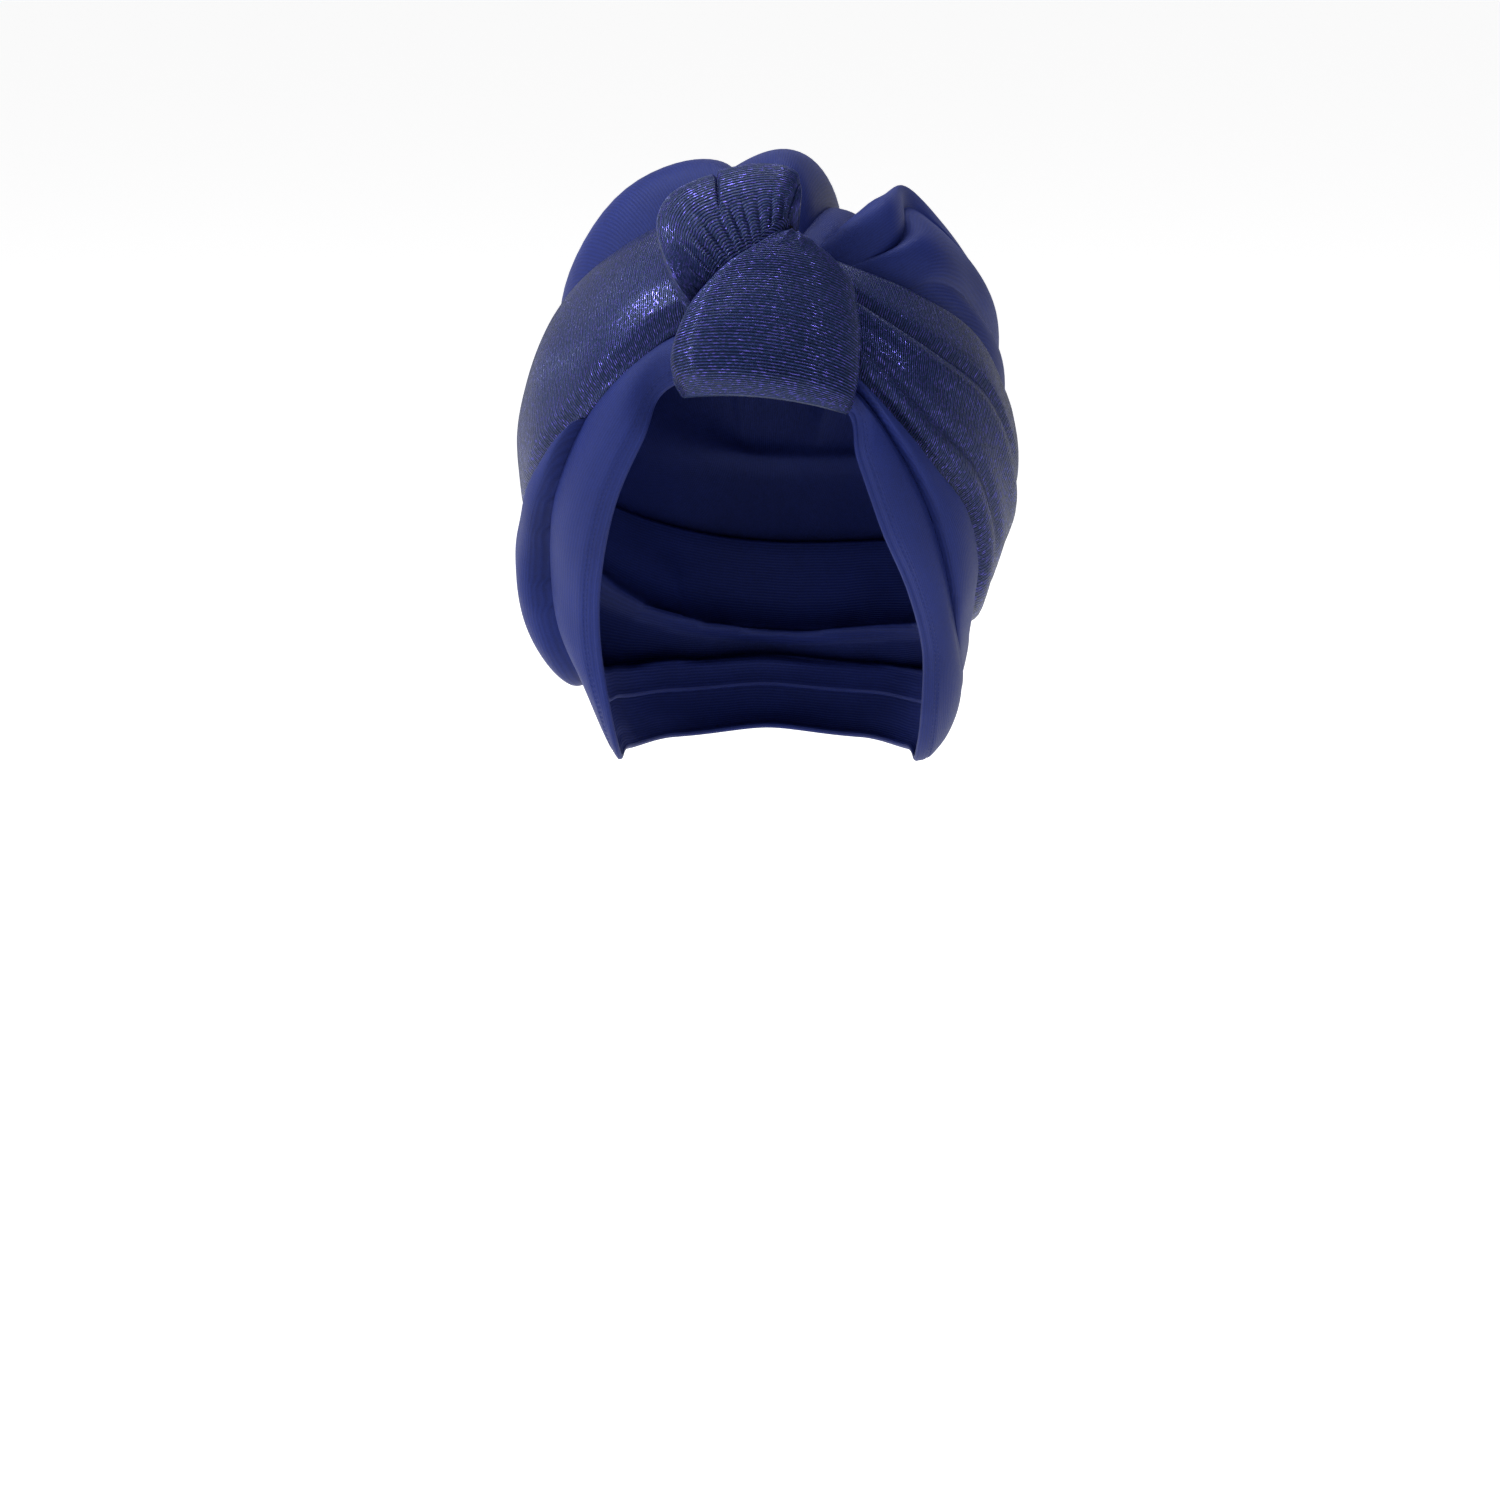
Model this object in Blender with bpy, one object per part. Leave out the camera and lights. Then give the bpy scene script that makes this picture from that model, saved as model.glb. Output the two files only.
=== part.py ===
"""A pre-tied turban headwrap: a puffed scuba-knit cap with a face band, a ribbed metallic wrap and a front knot.

Frame: metres, +Z up, the face looks along -Y and +X is on the right of someone who looks at the face.
The origin is the top of the head inside the cap.

Every sheet of cloth is a wall between two radii, measured from the middle of the head. A direction from there is
a unit vector. It is written as azimuth and elevation for the bands, which go round the head, and as fan and sweep
for the crown's folds, which run from the knot over the head to the nape.
"""

import math

import bmesh
import bpy
import numpy as np
from mathutils import Vector
from mathutils.bvhtree import BVHTree

MM = 0.001

# The head that the turban fits, which is not built
HEAD_WIDTH = 154 * MM
HEAD_DEPTH = 194 * MM
HEAD_RISE = 110 * MM
HEAD_DROP = 185 * MM

# Cloth
CAP_WALL = 2.5 * MM
FACE_WALL = 2.6 * MM
WRAP_WALL = 3.0 * MM
EDGE_WALL = 1.0 * MM
SEAT_GAP = 0.3 * MM
FOLD_GAP = 1.0 * MM
RIM_EASE = 0.6 * MM
STEEPEST = 0.5

# How far each sheet stands off the head, which the tables below take shares of
CAP_FULLNESS = 30 * MM
FACE_FULLNESS = 16 * MM
WRAP_FULLNESS = 30 * MM
CROWN_FULLNESS = 36 * MM
KNOT_FULLNESS = 46 * MM

# The crown's fan turns about a line from the knot to the nape
FAN_TILT = math.radians(43)
CROWN_SINK = 7 * MM
CROWN_FRONT = 12
CROWN_BACK = 156
CROWN_NARROW_FRONT = 0.3
CROWN_NARROW_BACK = 0.16
FOLD_START = 18
FOLD_RISE = 18
PUFF_RISE = 7
BACK_PUFF_RISE = 22
BACK_START = 70
BACK_REACH = 62
BACK_FLATTEN = 0.30
CROWN_ROWS = 24
TUCK_SHARE = 0.5

RING_STEPS_PER_ROW = 3
WRAP_ENDS = 0.35
# Where the wrap's pleats end and over how far they fade, in table rows from the knot
PLEAT_END = 8.5
PLEAT_FADE = 6

# Stations round the head: lines of the cloth as azimuth and elevation in degrees, and how far they stand off the
# head as shares of FACE_FULLNESS, CAP_FULLNESS and WRAP_FULLNESS. Azimuth 0 is the face, and the first rows go
# round by the right, to the nape at 180.
RING_COLUMNS = (
    "rim_az", "rim_el", "seam_az", "seam_el", "low_az", "low_el", "high_az", "high_el",
    "seam_lift", "puff_lift", "low_lift", "high_lift",
)
RING_ROWS = (
    (0, 37, 0, 44, 0, 50, 0, 66, 0.60, 0.38, 0.52, 0.60),
    (22, 28.5, 23.5, 29, 26, 32, 30, 57, 0.64, 0.48, 0.54, 0.70),
    (24, 16, 32, 16.5, 39, 17, 51, 48.6, 0.78, 0.62, 0.64, 0.84),
    (31, -2, 41.5, 0, 53, 4, 70, 40, 0.82, 0.70, 0.72, 0.96),
    (42, -19, 50, -16, 64, -11, 82, 29, 0.84, 0.66, 0.69, 0.96),
    (54.6, -36, 60, -30, 71, -22, 93, 21, 0.82, 0.52, 0.62, 0.98),
    (66, -51, 76, -41, 82, -31, 102, 15, 0.90, 0.44, 0.50, 0.98),
    (85, -60.2, 94, -47, 100, -35.5, 114, 10, 1.02, 0.50, 0.48, 0.94),
    (112, -60, 118, -47.5, 124, -37.5, 132, 5, 0.75, 0.42, 0.45, 0.88),
    (146, -57.5, 148, -45.5, 151, -38, 154, 1, 0.70, 0.42, 0.44, 0.84),
    (180, -55, 180, -43.5, 180, -38, 180, 0, 0.68, 0.44, 0.46, 0.84),
    (214, -57.5, 210, -45.5, 202, -36, 195, 3, 0.60, 0.46, 0.50, 0.84),
    (248, -60, 240, -47.5, 222, -31, 210, 8, 0.48, 0.52, 0.56, 0.87),
    (273, -60.2, 263, -46.5, 236, -24, 222, 13, 0.50, 0.84, 0.68, 0.92),
    (286, -52, 272, -39, 248, -16, 232, 19, 0.70, 1.06, 0.80, 0.97),
    (290.5, -40, 274, -29, 260, -8, 242, 26, 0.98, 1.06, 0.88, 1.00),
    (297.3, -25.3, 278, -14, 274, 0, 254, 36, 1.00, 0.93, 0.84, 1.07),
    (309.5, -1.6, 295, 9, 291.5, 14, 265, 45, 0.97, 0.78, 0.82, 1.00),
    (322.3, 20.6, 311, 29, 311.5, 31, 276, 57.5, 0.88, 0.56, 0.66, 0.86),
    (329, 34, 330.5, 43, 331, 45.5, 315, 72, 0.68, 0.42, 0.58, 0.70),
)

# The crown's folds, from the right to the left: where each starts and ends on the fan, in degrees, how high it
# stands as a share of CROWN_FULLNESS, and how much of that rise is left in the valley after it
FOLD_COLUMNS = ("start", "end", "height", "valley")
FOLD_ROWS = (
    (-5, 19, 1.08, 0.50),
    (19, 31, 0.89, 0.28),
    (31, 42, 1.06, 0.88),
    (42, 62, 1.17, 0.05),
    (74, 98, 1.01, 0.56),
    (98, 142, 1.17, 0.24),
    (142, 157, 0.54, 0.00),
)
FOLD_SPACING = 3.6
FOLD_STEPS_MOST = 9
CROWN_EDGE_RIGHT = -8
CROWN_EDGE_LEFT = 172
EDGE_REACHES = (1.2, 2.5)
SETTLE_ROUNDS = 40

# The front fold of the knot, from the forehead up: its two edges, and its height as a share of KNOT_FULLNESS
KNOT_FOLD_COLUMNS = ("left_az", "left_el", "right_az", "right_el", "height")
KNOT_FOLD_ROWS = (
    (-22.2, 30.0, 19.4, 26.3, 0.47),
    (-23.4, 31.4, 20.2, 27.7, 0.53),
    (-24.6, 33.0, 20.8, 29.7, 0.59),
    (-24.6, 35.6, 21.4, 32.3, 0.65),
    (-23.4, 39.0, 22.2, 36.2, 0.71),
    (-21.6, 43.0, 23.4, 41.1, 0.74),
    (-18.4, 46.8, 24.2, 45.9, 0.75),
    (-13.4, 50.6, 25.0, 50.0, 0.78),
    (-6.8, 54.2, 22.5, 54.0, 0.77),
    (-0.4, 57.4, 18.4, 57.4, 0.74),
    (6.2, 60.0, 12.6, 60.2, 0.66),
)

# The loop of the knot, round its fan: the gathered inner edge and the outer edge, with their heights as shares
LOOP_COLUMNS = ("inner_az", "inner_el", "outer_az", "outer_el", "inner", "outer")
LOOP_ROWS = (
    (-17.6, 45.5, -20.7, 45.8, 0.50, 0.50),
    (-16.8, 47.0, -24.6, 47.3, 0.54, 0.68),
    (-15.0, 48.4, -29.0, 50.4, 0.57, 0.80),
    (-13.0, 49.6, -35.0, 55.0, 0.60, 0.90),
    (-11.0, 50.8, -39.2, 59.1, 0.62, 0.95),
    (-8.8, 51.8, -39.6, 63.4, 0.64, 0.97),
    (-6.6, 52.7, -33.6, 66.9, 0.66, 0.97),
    (-4.8, 53.6, -26.2, 69.2, 0.67, 0.93),
    (-3.0, 54.2, -16.0, 70.5, 0.68, 0.98),
    (-0.8, 55.3, -3.0, 71.0, 0.70, 1.00),
    (1.6, 56.3, 7.6, 70.2, 0.72, 1.00),
    (4.0, 57.8, 13.2, 68.6, 0.73, 0.96),
    (6.0, 59.2, 13.0, 65.3, 0.72, 0.87),
    (8.0, 60.6, 10.4, 62.4, 0.68, 0.76),
)

SCUBA = {"color": (0.022, 0.045, 0.30, 1), "roughness": 0.62, "metallic": 0.0}
LAME = {"color": (0.016, 0.030, 0.20, 1), "roughness": 0.36, "metallic": 0.55}

HEAD_MIDDLE = np.array([0.0, 0.0, -HEAD_RISE])
TO_NAPE = np.array([0.0, math.cos(FAN_TILT), -math.sin(FAN_TILT)])
TO_CROWN = np.array([0.0, math.sin(FAN_TILT), math.cos(FAN_TILT)])
TO_RIGHT = np.array([1.0, 0.0, 0.0])


def clear_scene():
    """Remove what the startup scene holds."""
    for item in list(bpy.data.objects):
        bpy.data.objects.remove(item)


def unit(vectors):
    """Scale vectors to length one."""
    return vectors / np.linalg.norm(vectors, axis=-1, keepdims=True)


def compass(azimuth, elevation):
    """Directions from azimuth and elevation in degrees."""
    turn, lift = np.radians(azimuth), np.radians(elevation)
    return np.stack([np.sin(turn) * np.cos(lift), -np.cos(turn) * np.cos(lift), np.sin(lift)], axis=-1)


def fan_direction(fan, sweep):
    """Directions from the crown's fan and sweep in degrees."""
    turn, along = np.radians(fan)[..., None], np.radians(sweep)[..., None]
    outward = np.cos(turn) * TO_RIGHT + np.sin(turn) * TO_CROWN
    return -np.cos(along) * TO_NAPE + np.sin(along) * outward


def head_reach(directions):
    """Distance from the middle of the head to its surface."""
    upright = np.where(directions[..., 2] > 0, HEAD_RISE, HEAD_DROP)
    across, deep, tall = directions[..., 0], directions[..., 1], directions[..., 2]
    spread = (2 * across / HEAD_WIDTH) ** 2 + (2 * deep / HEAD_DEPTH) ** 2 + (tall / upright) ** 2
    return 1 / np.sqrt(spread)


def between(first, second, share):
    """Directions part of the way from one to the other."""
    return unit(first + (second - first) * share)


def curve_through(values, places, closed):
    """A smooth curve through rows of values, read at places counted in rows."""
    values = np.asarray(values, float)
    count = len(values)
    step = np.floor(places).astype(int)
    step = step if closed else np.clip(step, 0, count - 2)
    part = (places - step).reshape(-1, *[1] * (values.ndim - 1))
    near = [step + k for k in (-1, 0, 1, 2)]
    near = [n % count if closed else np.clip(n, 0, count - 1) for n in near]
    before, start, end, after = (values[n] for n in near)
    return 0.5 * (
        2 * start
        + (end - before) * part
        + (2 * before - 5 * start + 4 * end - after) * part**2
        + (3 * start - before - 3 * end + after) * part**3
    )


def columns(names, rows):
    """A table as one array for each named column."""
    table = np.array(rows, float)
    return {name: table[:, index] for index, name in enumerate(names)}


def table_line(table, line, places, closed):
    """The directions of one line of a table, read at places counted in rows."""
    ends = compass(table[line + "_az"], table[line + "_el"])
    return unit(curve_through(ends, places, closed))


def table_value(table, name, places, closed):
    """One plain column of a table, read at places counted in rows."""
    return curve_through(table[name], places, closed)


def points_at(directions, radii):
    """Points that lie at a distance from the middle of the head."""
    return HEAD_MIDDLE + directions * radii[..., None]


def smooth_step(share):
    """Rise from nothing to one with no corner."""
    share = np.clip(share, 0, 1)
    return share * share * (3 - 2 * share)


def round_rise(share):
    """Rise as the quarter of a circle does, steep first and flat at the end."""
    share = np.clip(share, 0, 1)
    return np.sqrt(1 - (1 - share) ** 2)


def pillow(share, fullness):
    """Height across a rounded fold, nothing at both edges. More fullness gives a flatter top."""
    return (1 - np.abs(2 * share - 1) ** fullness) ** 0.5


def wall_inside(directions, outer, wall):
    """Inner radii that keep a wall's thickness where its surface slants."""
    points = points_at(directions, outer)
    along = np.gradient(points, axis=0)
    across = np.gradient(points, axis=1)
    normals = unit(np.cross(along, across))
    facing = np.abs(np.sum(normals * directions, axis=-1))
    return outer - wall / np.maximum(facing, STEEPEST)


def grid_faces(rows, count, closed, offset, flip):
    """Faces of a grid of points, and whether its rows close on themselves."""
    faces = []
    for row in range(rows if closed else rows - 1):
        after = (row + 1) % rows
        for place in range(count - 1):
            corners = [
                offset + row * count + place,
                offset + after * count + place,
                offset + after * count + place + 1,
                offset + row * count + place + 1,
            ]
            faces.append(corners[::-1] if flip else corners)
    return faces


def edge_faces(rows, count, closed, under):
    """Faces that join the outer sheet to the inner sheet round their edges."""
    faces = []
    for row in range(rows if closed else rows - 1):
        after = (row + 1) % rows
        for place, turned in ((0, False), (count - 1, True)):
            first, second = row * count + place, after * count + place
            corners = [first, under + first, under + second, second]
            faces.append(corners[::-1] if turned else corners)
    if not closed:
        for row, turned in ((0, True), (rows - 1, False)):
            for place in range(count - 1):
                first, second = row * count + place, row * count + place + 1
                corners = [first, under + first, under + second, second]
                faces.append(corners[::-1] if turned else corners)
    return faces


def solid_faces(rows, count, closed):
    """Every triangle of a solid whose outer sheet's points come before its inner sheet's."""
    under = rows * count
    faces = grid_faces(rows, count, closed, 0, False)
    faces += grid_faces(rows, count, closed, under, True)
    faces += edge_faces(rows, count, closed, under)
    return [half for a, b, c, d in faces for half in ((a, b, c), (a, c, d))]


def solid_points(directions, outer, inner):
    """The points of both sheets in one list."""
    sheets = [points_at(directions, radii).reshape(-1, 3) for radii in (outer, inner)]
    return [tuple(point) for point in np.concatenate(sheets)]


def cloth_solid(name, directions, outer, inner, closed, material):
    """One closed solid between an outer and an inner sheet."""
    rows, count = outer.shape
    mesh = bpy.data.meshes.new(name)
    mesh.from_pydata(solid_points(directions, outer, inner), [], solid_faces(rows, count, closed))
    shaped = bmesh.new()
    shaped.from_mesh(mesh)
    bmesh.ops.recalc_face_normals(shaped, faces=shaped.faces)
    shaped.to_mesh(mesh)
    shaped.free()
    mesh.shade_smooth()
    mesh.set_sharp_from_angle(angle=math.radians(50))
    mesh.materials.append(material)
    item = bpy.data.objects.new(name, mesh)
    bpy.context.scene.collection.objects.link(item)
    return item


def cloth_material(name, finish):
    """A Principled material in one plain colour."""
    material = bpy.data.materials.new(name)
    material.use_nodes = True
    shader = material.node_tree.nodes["Principled BSDF"]
    shader.inputs["Base Color"].default_value = finish["color"]
    shader.inputs["Roughness"].default_value = finish["roughness"]
    shader.inputs["Metallic"].default_value = finish["metallic"]
    return material


def tree_of(items):
    """A search tree over the faces of finished pieces."""
    points, faces = [], []
    for item in items:
        start = len(points)
        points += [vertex.co.copy() for vertex in item.data.vertices]
        faces += [[start + corner for corner in face.vertices] for face in item.data.polygons]
    return BVHTree.FromPolygons(points, faces)


def cast(tree, direction, outward):
    """Distance from the middle of the head to a piece: its inner side going out, or its outer side coming in."""
    middle = Vector(HEAD_MIDDLE)
    aim = Vector(direction)
    far = 1.0
    start = middle if outward else middle + aim * far
    place = tree.ray_cast(start, aim if outward else -aim, far)[0]
    return None if place is None else (place - middle).length


def around(direction, reaches):
    """A direction and its neighbours at small angles in degrees."""
    side = unit(np.cross(direction, [0.31, 0.22, 0.93]))
    rise = np.cross(side, direction)
    found = [direction]
    for reach in reaches:
        for turn in range(0, 360, 45):
            slant = math.cos(math.radians(turn)) * side + math.sin(math.radians(turn)) * rise
            found.append(unit(direction + math.radians(reach) * slant))
    return found


def kept_under(tree, directions, radii, gap, reaches):
    """Radii lowered so that a sheet passes under the pieces of a tree."""
    result = radii.copy()
    for index in np.ndindex(radii.shape):
        hits = [cast(tree, near, True) for near in around(directions[index], reaches)]
        hits = [hit for hit in hits if hit is not None]
        if hits:
            result[index] = min(result[index], min(hits) - gap)
    return result


def laid_over(tree, directions, radii, gap, reaches):
    """Radii raised so that a sheet lies on the pieces of a tree."""
    result = radii.copy()
    for index in np.ndindex(radii.shape):
        hits = [cast(tree, near, False) for near in around(directions[index], reaches)]
        hits = [hit for hit in hits if hit is not None]
        if hits:
            result[index] = max(result[index], max(hits) + gap)
    return result


def settled(tree, directions, outer, inner, closed, step):
    """Both sheets moved by steps, out or in, until their solid crosses no face of a tree, and one step more."""
    rows, count = outer.shape
    faces = solid_faces(rows, count, closed)
    outer, inner = outer.copy(), inner.copy()
    least = head_reach(directions) + SEAT_GAP
    moved = np.zeros(outer.shape, bool)
    for _ in range(SETTLE_ROUNDS):
        own = BVHTree.FromPolygons(solid_points(directions, outer, inner), faces)
        crossed = {corner % outer.size for mine, _ in own.overlap(tree) for corner in faces[mine]}
        now = moved.copy() if not crossed else np.zeros(outer.shape, bool)
        now.flat[list(crossed)] = True
        moved |= now
        if step > 0:
            inner[now] += step
            outer = np.maximum(outer, inner + EDGE_WALL)
        else:
            outer[now] += step
            inner = np.maximum(np.minimum(inner, outer - CAP_WALL * 0.8), least)
            outer = np.maximum(outer, inner + EDGE_WALL * 0.5)
        if not crossed:
            break
    return outer, inner


def ring_places():
    """Places of the mesh rows round the head, counted in table rows."""
    return np.arange(len(RING_ROWS) * RING_STEPS_PER_ROW) / RING_STEPS_PER_ROW


def make_face_band(ring, material):
    """The band of scuba round the face and the nape, from the rim to the seam."""
    places = ring_places()
    rim = table_line(ring, "rim", places, True)
    seam = table_line(ring, "seam", places, True)
    seam_lift = table_value(ring, "seam_lift", places, True) * FACE_FULLNESS
    shares = np.array([0.0, 0.08, 0.3, 0.6, 0.9, 1.0])
    lifts = np.array([0.05, 0.30, 0.68, 0.98, 1.05, 1.0])
    directions = np.stack([between(rim, seam, share) for share in shares], axis=1)
    least = RIM_EASE + FACE_WALL
    outer = head_reach(directions) + least + (seam_lift - least)[:, None] * lifts
    inner = wall_inside(directions, outer, FACE_WALL)
    inner = np.maximum(inner, head_reach(directions) + RIM_EASE)
    return cloth_solid("face_band", directions, outer, inner, True, material)


def wrap_places():
    """Places of the wrap's mesh rows, which start and end under the knot."""
    count = len(RING_ROWS)
    inside = ring_places()
    inside = inside[(inside > WRAP_ENDS) & (inside < count - WRAP_ENDS)]
    return np.concatenate([[WRAP_ENDS], inside, [count - WRAP_ENDS]])


def pleat_relief(places, share):
    """Two pleats that run from the knot along the right side of the wrap, as a share of the wall."""
    fade = smooth_step((PLEAT_END - places) / PLEAT_FADE)
    upper = np.exp(-(((share - 0.64) / 0.06) ** 2))
    ridge = np.exp(-(((share - 0.48) / 0.10) ** 2))
    lower = np.exp(-(((share - 0.14) / 0.06) ** 2))
    return fade * (0.6 * ridge - 0.9 * upper - 0.4 * lower)


def make_wrap_band(ring, material):
    """The ribbed metallic wrap, from the knot round the back of the head to the knot."""
    places = wrap_places()
    low = table_line(ring, "low", places, True)
    high = table_line(ring, "high", places, True)
    low_lift = table_value(ring, "low_lift", places, True) * WRAP_FULLNESS
    high_lift = table_value(ring, "high_lift", places, True) * WRAP_FULLNESS
    shares = np.array([0.0, 0.03, 0.12, 0.28, 0.44, 0.54, 0.62, 0.70, 0.84, 0.97, 1.0])
    directions = np.stack([between(low, high, share) for share in shares], axis=1)
    bulge = 4 * shares * (1 - shares) * 0.08
    edge = np.where((shares == 0) | (shares == 1), WRAP_WALL - EDGE_WALL, 0)
    lift = low_lift[:, None] * (1 - shares) + high_lift[:, None] * shares + WRAP_FULLNESS * bulge
    relief = pleat_relief(places[:, None], shares[None, :]) * WRAP_WALL
    outer = head_reach(directions) + lift + relief - edge
    inner = wall_inside(directions, outer + edge, WRAP_WALL)
    return cloth_solid("wrap_band", directions, outer, inner, False, material)


def fold_fans():
    """The crown's mesh columns on the fan, which meet each valley, with the rise of each and its fold's height."""
    first, last = FOLD_ROWS[0], FOLD_ROWS[-1]
    fans, rises, heights = [CROWN_EDGE_RIGHT], [0.0], [first[2]]
    before = 0.0
    for start, end, height, valley in FOLD_ROWS:
        steps = min(round((end - start) / FOLD_SPACING), FOLD_STEPS_MOST)
        for step in range(steps):
            share = 0.5 - 0.5 * math.cos(math.pi * step / steps)
            base = before + (valley - before) * share
            fans.append(start + (end - start) * share)
            rises.append(base + (1 - base) * math.sin(math.pi * share) ** 0.6)
            heights.append(height)
        before = valley
    fans += [last[1], CROWN_EDGE_LEFT]
    rises += [0.0, 0.0]
    heights += [last[2], last[2]]
    heights = np.convolve(np.pad(heights, 1, mode="edge"), (0.25, 0.5, 0.25), mode="valid")
    return np.array(fans), np.array(rises), heights


def crown_floor(ring, directions):
    """How far the crown stands off the head between its folds, and its angle above the wrap's upper edge."""
    places = np.linspace(0, len(RING_ROWS), 240, endpoint=False)
    edge = table_line(ring, "high", places, True)
    lift = table_value(ring, "high_lift", places, True) * WRAP_FULLNESS - WRAP_WALL - SEAT_GAP
    flat = directions.reshape(-1, 3)
    angles = np.degrees(np.arccos(np.clip(flat @ edge.T, -1, 1)))
    weights = 1 / (angles + 1.5) ** 3
    floor = (weights * lift).sum(axis=1) / weights.sum(axis=1)
    turns = np.degrees(np.arctan2(edge[:, 0], -edge[:, 1])) % 360
    rise = np.degrees(np.arcsin(edge[:, 2]))
    order = np.argsort(turns)
    own_turn = np.degrees(np.arctan2(flat[:, 0], -flat[:, 1])) % 360
    own_rise = np.degrees(np.arcsin(np.clip(flat[:, 2], -1, 1)))
    above = own_rise > np.interp(own_turn, turns[order], rise[order], period=360)
    away = np.where(above, angles.min(axis=1), -angles.min(axis=1))
    floor = floor - CROWN_SINK * smooth_step(away / 35)
    return floor.reshape(directions.shape[:2]), away.reshape(directions.shape[:2])


def make_crown(ring, wrap, material):
    """The puffed crown: folds that run from behind the knot to the back, with its edges tucked under the wrap."""
    fans, rises, heights = fold_fans()
    sweeps = np.linspace(CROWN_FRONT, CROWN_BACK, CROWN_ROWS)
    fan = np.repeat(fans[None, :], CROWN_ROWS, axis=0)
    sweep = np.repeat(sweeps[:, None], len(fans), axis=1)
    narrow = CROWN_NARROW_BACK * smooth_step((sweep - 110) / 46) + CROWN_NARROW_FRONT * smooth_step((34 - sweep) / 20)
    fan = fan + (90 - fan) * narrow
    directions = fan_direction(fan, sweep)
    floor, away = crown_floor(ring, directions)
    back = smooth_step((sweep - BACK_START) / BACK_REACH)
    start = smooth_step((sweep - FOLD_START) / FOLD_RISE)
    puff = round_rise((away - 2) / (PUFF_RISE + (BACK_PUFF_RISE - PUFF_RISE) * back)) * start
    rise = rises[None, :] * (1 - 0.7 * back) + 0.6 * back
    top = CROWN_FULLNESS * heights[None, :] * (1 - BACK_FLATTEN * back)
    lift = floor + np.maximum(top - floor, CAP_WALL) * rise * puff
    outer = head_reach(directions) + lift
    outer = kept_under(tree_of([wrap]), directions, outer, SEAT_GAP, EDGE_REACHES)
    inner = wall_inside(directions, outer, CAP_WALL)
    inner = np.maximum(inner, head_reach(directions) + RIM_EASE)
    outer, inner = settled(tree_of([wrap]), directions, outer, inner, False, -SEAT_GAP)
    return cloth_solid("crown_cap", directions, outer, inner, False, material)


def make_side_cap(ring, wrap, crown, face_band, material):
    """The lower cap: it puffs out between the face band and the wrap, and runs under both."""
    places = ring_places()
    rim = table_line(ring, "rim", places, True)
    seam = table_line(ring, "seam", places, True)
    low = table_line(ring, "low", places, True)
    high = table_line(ring, "high", places, True)
    seam_lift = table_value(ring, "seam_lift", places, True) * FACE_FULLNESS - FACE_WALL - SEAT_GAP
    puff_lift = table_value(ring, "puff_lift", places, True) * CAP_FULLNESS
    low_lift = table_value(ring, "low_lift", places, True) * WRAP_FULLNESS - WRAP_WALL - SEAT_GAP
    high_lift = table_value(ring, "high_lift", places, True) * WRAP_FULLNESS - 2 * WRAP_WALL
    lines = [(between(seam, rim, 0.35), 0.75 * seam_lift), (seam, seam_lift)]
    for share in (0.12, 0.35, 0.62, 0.88):
        level = seam_lift + (low_lift - seam_lift) * share
        rise = np.maximum(puff_lift - level, 0) * pillow(share, 2.6)
        lines.append((between(seam, low, share), level + rise))
    lines.append((low, low_lift))
    for share in (0.5 * TUCK_SHARE, TUCK_SHARE):
        lines.append((between(low, high, share), low_lift + (high_lift - low_lift) * share))
    directions = np.stack([line for line, _ in lines], axis=1)
    outer = head_reach(directions) + np.stack([lift for _, lift in lines], axis=1)
    outer = kept_under(tree_of([wrap]), directions, outer, SEAT_GAP, EDGE_REACHES[:1])
    outer = kept_under(tree_of([crown]), directions, outer, SEAT_GAP, EDGE_REACHES)
    outer[:, :2] = kept_under(tree_of([face_band]), directions[:, :2], outer[:, :2], SEAT_GAP, EDGE_REACHES[:1])
    inner = wall_inside(directions, outer, CAP_WALL)
    inner = np.clip(inner, head_reach(directions) + SEAT_GAP, outer - EDGE_WALL)
    outer, inner = settled(tree_of([wrap, crown, face_band]), directions, outer, inner, True, -SEAT_GAP)
    return cloth_solid("side_cap", directions, outer, inner, True, material)


def knot_piece(name, first, second, lift, shares, under, material):
    """A wound fold of the knot: a solid pad between two edge lines that lies on the pieces under it."""
    directions = np.stack([between(first, second, share) for share in shares], axis=1)
    outer = head_reach(directions) + lift
    floor = head_reach(directions) + FACE_FULLNESS * 0.4
    inner = laid_over(tree_of(under), directions, floor, FOLD_GAP, EDGE_REACHES)
    outer = np.maximum(outer, inner + EDGE_WALL)
    outer, inner = settled(tree_of(under), directions, outer, inner, False, SEAT_GAP)
    return cloth_solid(name, directions, outer, inner, False, material)


def make_knot_loop(under, material):
    """The gathered loop at the top of the knot, whose pleats spread from its inner edge."""
    table = columns(LOOP_COLUMNS, LOOP_ROWS)
    places = np.linspace(0, len(LOOP_ROWS) - 1, 25)
    inner_edge = table_line(table, "inner", places, False)
    outer_edge = table_line(table, "outer", places, False)
    low = table_value(table, "inner", places, False)[:, None]
    high = table_value(table, "outer", places, False)[:, None]
    shares = np.array([0.0, 0.08, 0.2, 0.36, 0.54, 0.72, 0.86, 0.95, 1.0])
    climb = np.array([-0.25, 0.0, 0.30, 0.62, 0.86, 1.0, 1.0, 0.88, 0.60])
    lift = KNOT_FULLNESS * (low + (high - low) * climb)
    return knot_piece("knot_loop", inner_edge, outer_edge, lift, shares, under, material)


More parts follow.
